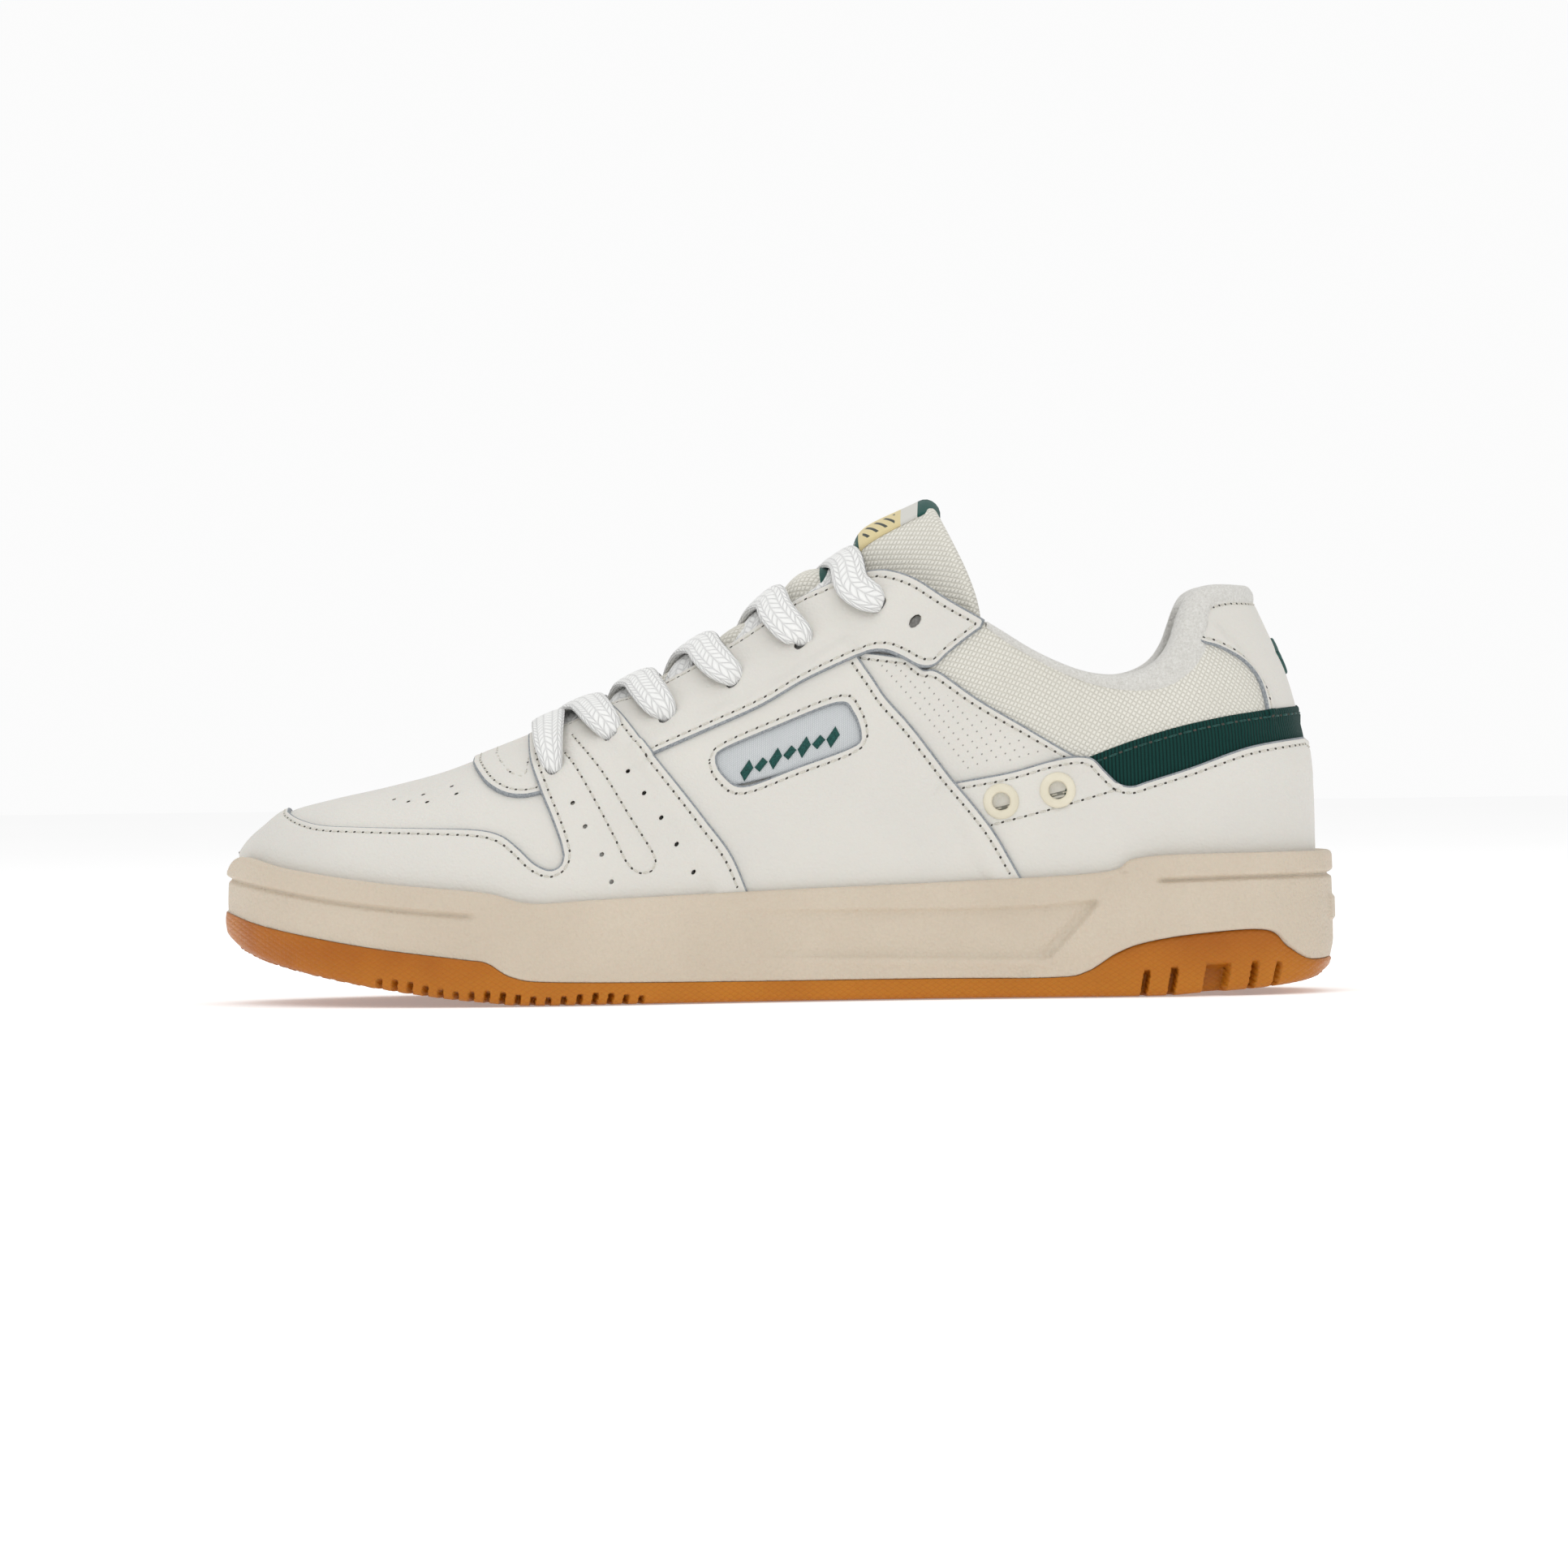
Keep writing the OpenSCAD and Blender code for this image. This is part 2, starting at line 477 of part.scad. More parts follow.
// Brushed lining: starts at the outer seam, rolls over the collar and runs down to the board
module collar_lining() {
  t = lining_t;
  outer_face = function (x) let (s = seam_z(x), c = crest_z(x), in = stiff_top - pad_at(x) - gap - t)
    [[s + 0.6, base_top], [mix(s, c, 0.6), base_top - 0.4], [c - 0.4, base_top - 2],
      [c, mix(base_top, in, 0.5)],
      [c - 1.2, in + 0.6], [s - 2, in - 0.3], [s - 13, in + 0.3], [s - 28, heel_lining_top - t],
      [44, heel_lining_top - t], [31, heel_lining_top - t]];
  inner_face = function (x) let (s = seam_z(x), c = crest_z(x), in = stiff_top - pad_at(x) - gap)
    [[s + 0.6, base_top - t], [mix(s, c, 0.55), base_top - 0.4 - t], [c - 1.5, base_top - 0.8 - t],
      [c - t, mix(base_top, in - t, 0.5)], [c - 1.9, in + 0.3], [s - 2, in - 0.3], [s - 13, in + 0.3],
      [s - 28, heel_lining_top], [44, heel_lining_top], [31, heel_lining_top]];
  color("white") sheet(collar_rows(outer_face), collar_rows(inner_face));
}

module heel_tab() {
  seam = [for (p = collar_seam) if (p[0] > 113 * kx) p + [1.5, -1.2]];
  edges = [stretched([[130.5, 73], [136, 74.5], [143, 75.5]]), seam,
    concat([[130.5 * kx, 73], [131.3 * kx, 80], [126.5 * kx, 88]], [seam[0]]),
    heel_edge(75.5, 103.6)];
  color("#f5f3ec") centre_piece(edges, base_top, base_bottom, 9, 6);
}

// Plain raised lozenge in place of a badge
module heel_motif() {
  edges = [stretched([[135.6, 90], [137.7, 87], [140.5, 84.5]]),
    stretched([[135.2, 91], [134.4, 94], [135.5, 96.5]]),
    stretched([[135.6, 90], [135.2, 91]]), heel_edge(84.5, 96.5)];
  color("#10483f") centre_piece(edges, base_top + 0.9, base_top + 0.2, 5, 4);
}

module heel_ribbon() {
  edges = [stretched([[92.5, 57.5], [97, 57.5], [110, 61], [127, 67], [144, 69.6]]), ribbon_top,
    stretched([[92.5, 57.5], [88, 60.5], [84, 63.6]]), heel_edge(69.6, 77.2)];
  color("#0f4a41") centre_piece(edges, -0.3, -leather_t, 14, 2);
}

module foxing() {
  edges = [bottom_edge(68.5 * kx, upper_tip + 1, 10), [for (p = foxing_top) p + [0.5, -0.2]],
    [for (p = mid_rear) if (p[1] < 58) p + [0.6, 0]],
    heel_edge(cup_z(tip_x) - tuck, 68.4)];
  color("#f5f3ec") as_mesh() difference() {
    centre_piece(edges, 0, -leather_t, 18, 5);
    for (side = [OUTER, INNER], p = vents) bored(p, side, vent_id + 1.6);
  }
}

// Four moulded rings: a flange outside and a sleeve through the leather
module vent_rings() {
  color("#ece8d8")
    for (side = [OUTER, INNER], p = vents) {
      q = place(p, side);
      n = arch_normal(q[0], q[1]);
      translate(shell(q[0], q[1], 0))
        rotate([0, acos(n[2]), atan2(n[1], n[0])])
          rotate_extrude($fn = 40)
            polygon([[vent_id / 2, -1], [vent_id / 2 + 0.6, -1], [vent_id / 2 + 0.6, 0.25],
              [vent_od / 2, 0.25], [vent_od / 2 - 0.3, 0.8], [vent_id / 2 + 0.4, 1.2], [vent_id / 2, 0.8]]);
    }
}

module eyestay(side) {
  edges = [[for (p = facing_low) p + [0.3, 0.4]], facing_top,
    [for (p = wing_rear) if (p[1] > 66) p + [0.6, 0.4]], stretched([[54.8, 98.9], [56, 101]])];
  color("#f5f3ec") as_mesh() difference() {
    side_piece(edges, side, 0, -leather_t, 18, 3);
    for (i = [2:6]) bored(eyelets[i], side, eyelet_d);
  }
}

// ---------- Lace ----------

throat_slope = [0.8, 0, 0.6];
under = lining_bottom - gap - lace_t / 2 - 0.4;
over = gap + lace_t / 2 + 0.4;
lace_rest = tongue_rise + gap + lace_t / 2 + 1.2;
hole_w = 2.8;          // the lace is gathered to this width where it goes through a hole
function lace_hole(i, side) = place(eyelets[i], side);
function lace_point(q, depth, width) = [shell(q[0], q[1], depth), width];
function edge_at(q, side) = side == OUTER ? throat_place(q[0]) : 2 - throat_place(q[0]);

// One pass: up out of the throat, across the tongue, over the facing and down through hole i
function lace_pass(i, side, lift) =
  let (from = lace_hole(i - 1, -side), to = lace_hole(i, side),
    from_edge = edge_at(from, -side), to_edge = edge_at(to, side),
    x1 = mix(from[0], to[0], 0.2), x2 = mix(from[0], to[0], 0.5), x3 = mix(from[0], to[0], 0.8))
  [lace_point(from, under, hole_w),
    lace_point([mix(from[0], x1, 0.7), mix(from[1], from_edge, 0.8)], under, 0.8 * lace_w),
    lace_point([x1, mix(from_edge, 1, 0.35)], mix(under, lace_rest + lift, 0.45), lace_w),
    lace_point([x2, 1], lace_rest + lift, lace_w),
    lace_point([x3, mix(to_edge, 1, 0.35)], mix(over, lace_rest + lift, 0.3), lace_w),
    lace_point([x3, mix(to_edge, to[1], 0.2)], over + 0.1, lace_w),
    lace_point([to[0], mix(to[1], to_edge, 0.15)], over + 0.3, 0.7 * lace_w),
    lace_point(to, -1.5, hole_w)];
function lace_side(first) = [for (i = [1:5]) each lace_pass(i, i % 2 == 1 ? -first : first,
  i % 2 == (first == OUTER ? 1 : 0) ? 0 : lace_t + 0.5)];
function lace_tail(side) = let (q = lace_hole(5, side))
  [lace_point(q, under, hole_w), each [for (p = stretched([[33, 96], [36, 84], [30, 70], [14, 58],
    [-6, 50], [-26, 45]])) [on_upper(p, side, under - 0.8), 4]]];
function half_bar(side) = let (q = lace_hole(0, side), e = edge_at(q, side))
  [lace_point(q, -1.5, hole_w), lace_point([q[0], mix(q[1], e, 0.15)], over + 0.3, 0.7 * lace_w),
    lace_point([q[0], mix(q[1], e, 0.6)], over + 0.3, lace_w), lace_point([q[0], e], over + 0.3, lace_w)];
function lace_bar() = concat(half_bar(OUTER),
  [lace_point([lace_hole(0, OUTER)[0], 1], over + 0.3, lace_w)], backwards(half_bar(INNER)));
function lace_route() = concat(backwards(lace_tail(INNER)), backwards(lace_side(OUTER)), lace_bar(),
  lace_side(INNER), lace_tail(OUTER));

function lace_ring(route, i) =
  let (c = route[i][0], along = knot(route, i + 1)[0] - knot(route, i - 1)[0], t = along / norm(along),
    flat = throat_slope - (throat_slope * t) * t, b = flat / norm(flat), n = cross(t, b),
    w = route[i][1] / 2, h = route[i][1] < 4 ? 1.2 : lace_t / 2)
  [for (a = [0:45:315]) c + w * cos(a) * b - h * sin(a) * n];

module lace() {
  route = lace_route();
  color("white") loft([for (i = [0:len(route) - 1]) lace_ring(route, i)]);
}

module lace_tips() {
  color("#dddddd") for (side = [OUTER, INNER]) {
    tail = lace_tail(side);
    end = tail[len(tail) - 1][0];
    d = end - tail[len(tail) - 2][0];
    translate(end + 0.3 * d / norm(d))
      rotate([0, acos(d[2] / norm(d)), atan2(d[1], d[0])])
        cylinder(d = 2.6, h = 22, $fn = 24);
  }
}

// ---------- Tongue ----------

tongue_base_x = -59 * kx;
tongue_rows = 16;
tongue_cols = 12;
function tongue_place(i, j) =
  let (s = i / tongue_rows, w = mix(-1, 1, j / tongue_cols),
    end = mix(41, 56, pow(abs(w), 1.6)) * kx, x = mix(tongue_base_x, end, s))
  [x, 1 + w * mix(0.34, 0.6, smooth(s))];
function tongue_lift(q) = let (e = throat_place(min(50 * kx, q[0])),
    share = clamp01((min(q[1], 2 - q[1]) - e) / max(0.05, 1 - e)))
  mix(under - lace_t / 2 - 1.3, tongue_rise, smooth(share));
function tongue_grid(depth) = [for (i = [0:tongue_rows]) [for (j = [0:tongue_cols])
  let (q = tongue_place(i, j)) shell(q[0], q[1], tongue_lift(q) + depth)]];
function tongue_depths(k) = [0, -1, -1.2, -1.2 - tongue_pad, -1.4 - tongue_pad, -2.4 - tongue_pad][k];

module tongue_canvas() {
  color("#efecd9") sheet(tongue_grid(tongue_depths(0)), tongue_grid(tongue_depths(1)));
}

module tongue_foam() {
  color("lightyellow") sheet(tongue_grid(tongue_depths(2)), tongue_grid(tongue_depths(3)));
}

module tongue_lining() {
  color("white") sheet(tongue_grid(tongue_depths(4)), tongue_grid(tongue_depths(5)));
}

module tongue_label() {
  function strip(depth) = [for (i = [0:8]) [for (j = [0:4])
    let (q = [mix(22, 40.5, i / 8) * kx, 1 + mix(-0.17, 0.17, j / 4)])
    shell(q[0], q[1], tongue_lift(q) + depth)]];
  color("#1a5a4c") sheet(strip(1), strip(0.3));
}

outsole();
midsole_cup();
midsole_foam();
strobel_board();
sockliner();
toe_puff();
heel_counter();
vamp();
vamp_lining();
mudguard();
throat_patch();
quarter_lining(OUTER);  // quarter_lining_outer
quarter_lining(INNER);  // quarter_lining_inner
mid_panel(OUTER);  // mid_panel_outer
mid_panel(INNER);  // mid_panel_inner
window_patch(OUTER);  // window_patch_outer
window_patch(INNER);  // window_patch_inner
vent_panel(OUTER);  // vent_panel_outer
vent_panel(INNER);  // vent_panel_inner
collar_canvas(OUTER);  // collar_canvas_outer
collar_canvas(INNER);  // collar_canvas_inner
collar_foam();
collar_lining();
heel_tab();
heel_motif();
heel_ribbon();
foxing();
vent_rings();
eyestay(OUTER);  // eyestay_outer
eyestay(INNER);  // eyestay_inner
lace();
lace_tips();
tongue_canvas();
tongue_foam();
tongue_lining();
tongue_label();
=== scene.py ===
"""Looks of the court shoe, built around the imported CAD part.

Lengths are millimetres until a mesh is made. The toe points to -X, the heel to +X and the outer
side of the foot to -Y. Every piece of the upper follows one lasted surface, and is cut from a flat
pattern: a runs along the shoe from the toe (0) to the heel (HEEL_A), and c runs round the girth,
from the outer feather edge (negative) over the ridge (0) to the inner feather edge. A pattern that
goes past a = 0 or a = HEEL_A carries on round the toe or the heel on the other side.
"""

import math

import bpy
import numpy as np
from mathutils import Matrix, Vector
from mathutils.geometry import delaunay_2d_cdt


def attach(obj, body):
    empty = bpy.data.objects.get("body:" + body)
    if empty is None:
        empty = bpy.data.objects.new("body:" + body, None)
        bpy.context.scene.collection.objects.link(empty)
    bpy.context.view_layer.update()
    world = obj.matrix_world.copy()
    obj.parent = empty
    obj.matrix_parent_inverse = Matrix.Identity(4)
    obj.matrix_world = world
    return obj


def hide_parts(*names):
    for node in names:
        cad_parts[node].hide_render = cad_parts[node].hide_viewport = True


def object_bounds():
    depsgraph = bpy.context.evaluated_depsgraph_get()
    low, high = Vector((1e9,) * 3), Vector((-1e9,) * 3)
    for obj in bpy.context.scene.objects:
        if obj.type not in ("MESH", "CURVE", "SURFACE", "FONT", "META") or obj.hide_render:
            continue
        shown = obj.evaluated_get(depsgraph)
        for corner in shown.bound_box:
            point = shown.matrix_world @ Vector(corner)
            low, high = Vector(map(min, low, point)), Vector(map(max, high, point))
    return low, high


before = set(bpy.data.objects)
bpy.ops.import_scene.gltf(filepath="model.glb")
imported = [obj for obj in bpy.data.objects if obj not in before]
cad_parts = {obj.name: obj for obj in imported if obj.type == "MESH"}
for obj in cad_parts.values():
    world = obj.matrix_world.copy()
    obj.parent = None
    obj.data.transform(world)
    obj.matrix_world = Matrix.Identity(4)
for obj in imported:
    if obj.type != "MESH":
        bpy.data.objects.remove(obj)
cad_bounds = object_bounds()
MM = 0.001
KX = (cad_bounds[1][0] - cad_bounds[0][0]) / MM / 297.6  # the tables below are for a 298 mm sole
OUTER, INNER = -1, 1


# ---------- Curves and the lasted surface ----------

def catmull(a, b, c, d, t):
    return 0.5 * (2 * b + (c - a) * t + (2 * a - 5 * b + 4 * c - d) * t * t
                  + (3 * b - a - 3 * c + d) * t ** 3)


def curve(points, steps=12, closed=False):
    """A smooth curve through the points."""
    p = np.array(points, float)
    n = len(p)
    k = np.arange(n if closed else n - 1)

    def knot(j):
        return (p[(k + j) % n] if closed else p[np.clip(k + j, 0, n - 1)])[:, None]

    t = (np.arange(steps) / steps)[None, :, None]
    out = catmull(knot(-1), knot(0), knot(1), knot(2), t).reshape(-1, p.shape[1])
    return out if closed else np.vstack([out, p[-1:]])


def smooth(t):
    t = np.clip(t, 0, 1)
    return t * t * (3 - 2 * t)


def stretched(points):
    return np.array(points, float) * [KX, 1]


class Profile:
    """A height that changes along the shoe."""

    def __init__(self, points):
        self.x, self.z = curve(stretched(points)).T

    def __call__(self, x):
        return np.interp(x, self.x, self.z)


OUTER_PLAN = [[149, 2], [145, -17], [134, -28], [119, -34], [98, -36.5], [74, -36.5], [49, -36],
              [24, -37.5], [-1, -41], [-26, -46], [-48, -50.5], [-68, -52], [-86, -50.5],
              [-104, -46], [-120, -37.5], [-133, -26], [-143, -12]]
INNER_PLAN = [[-149, 6], [-145, 20], [-135, 31.5], [-120, 42], [-102, 49], [-84, 52], [-66, 51.5],
              [-48, 48], [-26, 42], [-1, 37.5], [24, 36], [49, 37], [74, 39], [98, 40],
              [119, 37.5], [134, 31], [145, 20]]
PLAN_STEPS = 40
plan = curve(stretched(OUTER_PLAN + INNER_PLAN), PLAN_STEPS, closed=True)
plan_tangent = np.roll(plan, -1, 0) - np.roll(plan, 1, 0)
plan_out = np.stack([-plan_tangent[:, 1], plan_tangent[:, 0]], 1)
plan_out /= np.linalg.norm(plan_out, axis=1)[:, None]
TOE = len(OUTER_PLAN) * PLAN_STEPS

ground_z = Profile([[-149, 17.5], [-143, 13.6], [-130, 9.5], [-110, 5.3], [-90, 2.2], [-76, 0.7],
                    [-66, 0], [-30, 0], [60, 0], [100, 0], [112, 0.6], [131, 1.8], [144, 3.8],
                    [149, 6.5]])
gum_z = Profile([[-149, 24.5], [-136, 20.6], [-110, 15.8], [-84, 12.4], [-77, 11.3], [-70, 7.4],
                 [-58, 6], [-10, 5.4], [40, 5.3], [73, 5.2], [82, 6.6], [90, 11.4], [98, 14.2],
                 [112, 16.3], [130, 17], [136, 12.5], [142, 9], [149, 9]])
cup_z = Profile([[-149, 36.5], [-145, 39.5], [-132, 36.5], [-105, 32.6], [-78, 30], [-65, 27],
                 [-45, 27.8], [0, 29.5], [45, 31], [86, 33], [95, 36.5], [110, 37.6],
                 [149, 37.8]])
board_z = Profile([[-149, 30], [-138, 27.5], [-120, 23.5], [-80, 19], [-40, 18.3], [0, 20],
                   [60, 22.4], [86, 23.6], [100, 25], [149, 26]])
ridge_z = Profile([[-146, 40], [-143, 44], [-139, 47.5], [-132, 52.5], [-120, 55.8], [-105, 59],
                   [-90, 62.8], [-78, 67.2], [-68, 71], [-58, 75], [-44, 81], [-30, 88],
                   [-12, 100], [7, 115], [28, 129], [42, 137], [56, 143], [75, 148], [110, 150],
                   [149, 150]])
heel_lean = curve([[30, 0], [50, 0.2], [58, 0.6], [64, 1.2], [70, 2.2], [77, 4], [84, 6],
                   [90, 8.2], [99, 12.3], [106, 15.5], [120, 22]])

UPPER_INSET = 3.4   # from the cup's outer wall to the upper
TIP = 149 * KX - UPPER_INSET
FOOT_DROP = 8       # the surface starts this far under the cup's rim


def lean(z):
    return np.interp(z, heel_lean[:, 0], heel_lean[:, 1])


def lean_share(x):
    return np.clip((x - 50) / (TIP - 50), 0, 1) ** 1.5


inset = plan - UPPER_INSET * plan_out
outer_line = inset[:TOE + 1][::-1]
inner_line = np.vstack([inset[TOE:], inset[:1]])
angles = np.linspace(0, math.pi, 1201)
angle_x = -TIP * np.cos(angles)
outer_y, inner_y = (np.interp(angle_x, np.maximum.accumulate(line[:, 0]), line[:, 1])
                    for line in (outer_line, inner_line))
half_width = (inner_y - outer_y) / 2
middle_y = (inner_y + outer_y) / 2


def arch(x, v):
    """The surface at station x and place v: 0 outer edge, 1 ridge, 2 inner edge."""
    angle = np.arccos(np.clip(-x / TIP, -1, 1))
    w, m = np.interp(angle, angles, half_width), np.interp(angle, angles, middle_y)
    foot = cup_z(x) - FOOT_DROP
    s, c = np.sin(np.pi / 2 * v), np.cos(np.pi / 2 * v)
    z = foot + (ridge_z(x) - foot) * np.abs(s) ** (2 / 2.4)
    y = m - np.sign(c) * w * np.abs(c) ** (2 / 2.2)
    return np.stack([x - lean(z) * lean_share(x), y, z], -1)


# Lengths along the shoe and round the girth, so that patterns are cut at their true size
along = np.concatenate([[0], np.cumsum(np.hypot(np.diff(angle_x), np.diff(half_width)))])
HEEL_A = along[-1]
girth_v = np.linspace(0, 1, 161)
girth_rows = arch(angle_x[:, None] + 0 * girth_v, 0 * angle_x[:, None] + girth_v)
girth = np.cumsum(np.linalg.norm(np.diff(girth_rows, axis=1), axis=2), 1)
girth = np.hstack([np.zeros((len(girth), 1)), girth])
girth_length = girth[:, -1]
girth_share = np.linspace(0, 1, 161)
share_to_v = np.array([np.interp(girth_share, g / g[-1], girth_v) for g in girth])
v_to_share = girth / girth_length[:, None]


def bilinear(table, row, col):
    """Reads a table with 161 columns over 0..1 at fractional rows."""
    i = np.clip(np.floor(row).astype(int), 0, len(table) - 2)
    j = np.clip(np.floor(col * 160).astype(int), 0, 159)
    s, t = row - i, col * 160 - j
    return ((table[i, j] * (1 - t) + table[i, j + 1] * t) * (1 - s)
            + (table[i + 1, j] * (1 - t) + table[i + 1, j + 1] * t) * s)


def fold(q):
    """Pattern places past the toe or the heel, brought back as places on the other side."""
    a, c = q[..., 0], q[..., 1]
    past = (a < 0) | (a > HEEL_A)
    return np.stack([np.where(a < 0, -a, np.where(a > HEEL_A, 2 * HEEL_A - a, a)),
                     np.where(past, -c, c)], -1)


def surface(q):
    f = fold(q)
    row = np.interp(f[..., 0], along, np.arange(len(along)))
    length = np.interp(f[..., 0], along, girth_length)
    share = np.clip(1 - np.abs(f[..., 1]) / length, 0, 1)
    v = bilinear(share_to_v, row, share)
    x = np.interp(f[..., 0], along, angle_x)
    return arch(x, np.where(f[..., 1] < 0, v, 2 - v))


def normal(q):
    e = 0.3
    n = np.cross(surface(q + [e, 0]) - surface(q - [e, 0]),
                 surface(q + [0, e]) - surface(q - [0, e]))
    return n / np.maximum(np.linalg.norm(n, axis=-1), 1e-9)[..., None]


def lifted(q, height):
    """Points that stand height over the surface."""
    q = np.asarray(q, float)
    return surface(q) + normal(q) * np.asarray(height)[..., None]


def at(x, v):
    """Pattern place of a station and a place round the arch."""
    x, v = np.broadcast_arrays(np.asarray(x, float), np.asarray(v, float))
    angle = np.arccos(np.clip(-x / TIP, -1, 1))
    row = np.interp(angle, angles, np.arange(len(angles)))
    share = bilinear(v_to_share, row, np.minimum(v, 2 - v))
    c = (share - 1) * np.interp(row, np.arange(len(angles)), girth_length)
    return np.stack([np.interp(row, np.arange(len(along)), along), np.where(v > 1, -c, c)], -1)


def station(x, z):
    found = x
    for _ in range(6):
        found = x + lean(z) * lean_share(found)
    return np.clip(found, -TIP, TIP)


def section_place(x, z):
    foot = cup_z(x) - FOOT_DROP
    rise = np.clip((z - foot) / (ridge_z(x) - foot), 0, 1) ** 1.2
    return np.arcsin(rise) / (np.pi / 2)


def seen(points, steps=10):
    """A line drawn in the side view, as a pattern line on the outer half."""
    p = np.asarray(points, float)
    p = curve(p, steps) if steps > 1 else p
    x = station(p[:, 0], p[:, 1])
    return at(x, section_place(x, p[:, 1]))


# ---------- Flat patterns ----------

EDGE_RINGS = [0.15, 0.5, 0.9, 1.3, 1.7, 2.1, 2.6, 3.3]   # rows of points inside a cut edge
GRID = 1.9                                               # spacing of the points further in


def spaced(line, step, closed=False):
    """The same line with its points step apart."""
    p = np.vstack([line, line[:1]]) if closed else np.asarray(line, float)
    s = np.concatenate([[0], np.cumsum(np.linalg.norm(np.diff(p, axis=0), axis=1))])
    n = max(2, int(round(s[-1] / step)))
    t = np.linspace(0, s[-1], n + 1)
    out = np.stack([np.interp(t, s, p[:, i]) for i in range(p.shape[1])], 1)
    return out[:-1] if closed else out


def joined(*lines):
    """One closed outline out of lines that meet, each kept with its own corners."""
    parts = [spaced(line, 0.8)[:-1] for line in lines if len(line) > 1]
    return np.vstack(parts)


def at_seam(line):
    """Points of an outline on the line where a toe pattern meets itself."""
    return np.abs(line[:, 0]) < 1e-6


def segment_distance(q, line):
    """Distance of each point to a closed outline's cut edges, and the nearest place along it."""
    a, b = line, np.roll(line, -1, 0)
    d = b - a
    length = np.maximum((d ** 2).sum(1), 1e-12)
    s = np.concatenate([[0], np.cumsum(np.sqrt(length))])
    sewn = at_seam(a) & at_seam(b)
    best, where = np.full(len(q), 1e9), np.zeros(len(q))
    for k in range(0, len(q), 4000):
        block = q[k:k + 4000, None] - a[None]
        t = np.clip((block * d).sum(2) / length, 0, 1)
        gap = ((block - t[..., None] * d) ** 2).sum(2)
        gap[:, sewn] = 1e9
        i = gap.argmin(1)
        r = np.arange(len(i))
        best[k:k + 4000] = np.sqrt(gap[r, i])
        where[k:k + 4000] = s[i] + t[r, i] * np.sqrt(length[i])
    return best, where


def inside(q, line):
    a, b = line, np.roll(line, -1, 0)
    hit = np.zeros(len(q), bool)
    for (ax, ay), (bx, by) in zip(a, b):
        if ay != by:
            cross = (ay > q[:, 1]) != (by > q[:, 1])
            hit ^= cross & (q[:, 0] < (bx - ax) * (q[:, 1] - ay) / (by - ay) + ax)
    return hit


def depth_in(q, line):
    """Distance from the outline, positive inside."""
    d, _ = segment_distance(q, line)
    return np.where(inside(q, line), d, -d)


def inward(line):
    t = np.roll(line, -1, 0) - np.roll(line, 1, 0)
    n = np.stack([-t[:, 1], t[:, 0]], 1) / np.maximum(np.linalg.norm(t, axis=1), 1e-9)[:, None]
    area = (line[:, 0] * np.roll(line[:, 1], -1) - line[:, 1] * np.roll(line[:, 0], -1)).sum()
    return n if area > 0 else -n


def circle(centre, r, n=14):
    t = np.linspace(0, 2 * np.pi, n, endpoint=False)
    return np.asarray(centre) + r * np.stack([np.cos(t), np.sin(t)], 1)


def outer_copy(q):
    """Places folded onto the outer half, where every pattern's drawing is."""
    f = fold(q)
    return np.stack([f[:, 0], -np.abs(f[:, 1])], 1)


class Layer:
    """A cut piece of the upper: its outline, its cut-outs, the height of its outer face and the
    layers it lies over."""

    def __init__(self, outline, base, thick=1.2, over=(), cutouts=()):
        self.outline, self.base, self.thick, self.over = outline, base, thick, over
        self.cutouts = [c if inward(c)[0] @ (c.mean(0) - c[0]) > 0 else c[::-1] for c in cutouts]

    def depth(self, q):
        """Distance inside the piece, negative outside it."""
        d = depth_in(q, self.outline)
        for hole in self.cutouts:
            d = np.minimum(d, -depth_in(q, hole))
        return d

    def top(self, q):
        """Height of the outer face, draped over the pieces below."""
        h = np.full(len(q), float(self.base))
        for low in self.over:
            d = low.depth(outer_copy(q))
            lift = low.top(q) + self.thick
            h = np.maximum(h, self.base + (lift - self.base) * smooth((d + 1.3) / 1.9))
        return h


def rings_of(line, outwards):
    """Rows of points beside an outline, which shape its rounded edge and its stitch groove."""
    normals = -inward(line) if outwards else inward(line)
    rings = []
    for d in EDGE_RINGS[:6] if outwards else EDGE_RINGS:
        p = (line + normals * d)[~at_seam(line)]
        far, _ = segment_distance(p, line)
        rings.append(p[(far > d - 0.05) & (inside(p, line) != outwards)])
    return np.vstack(rings)


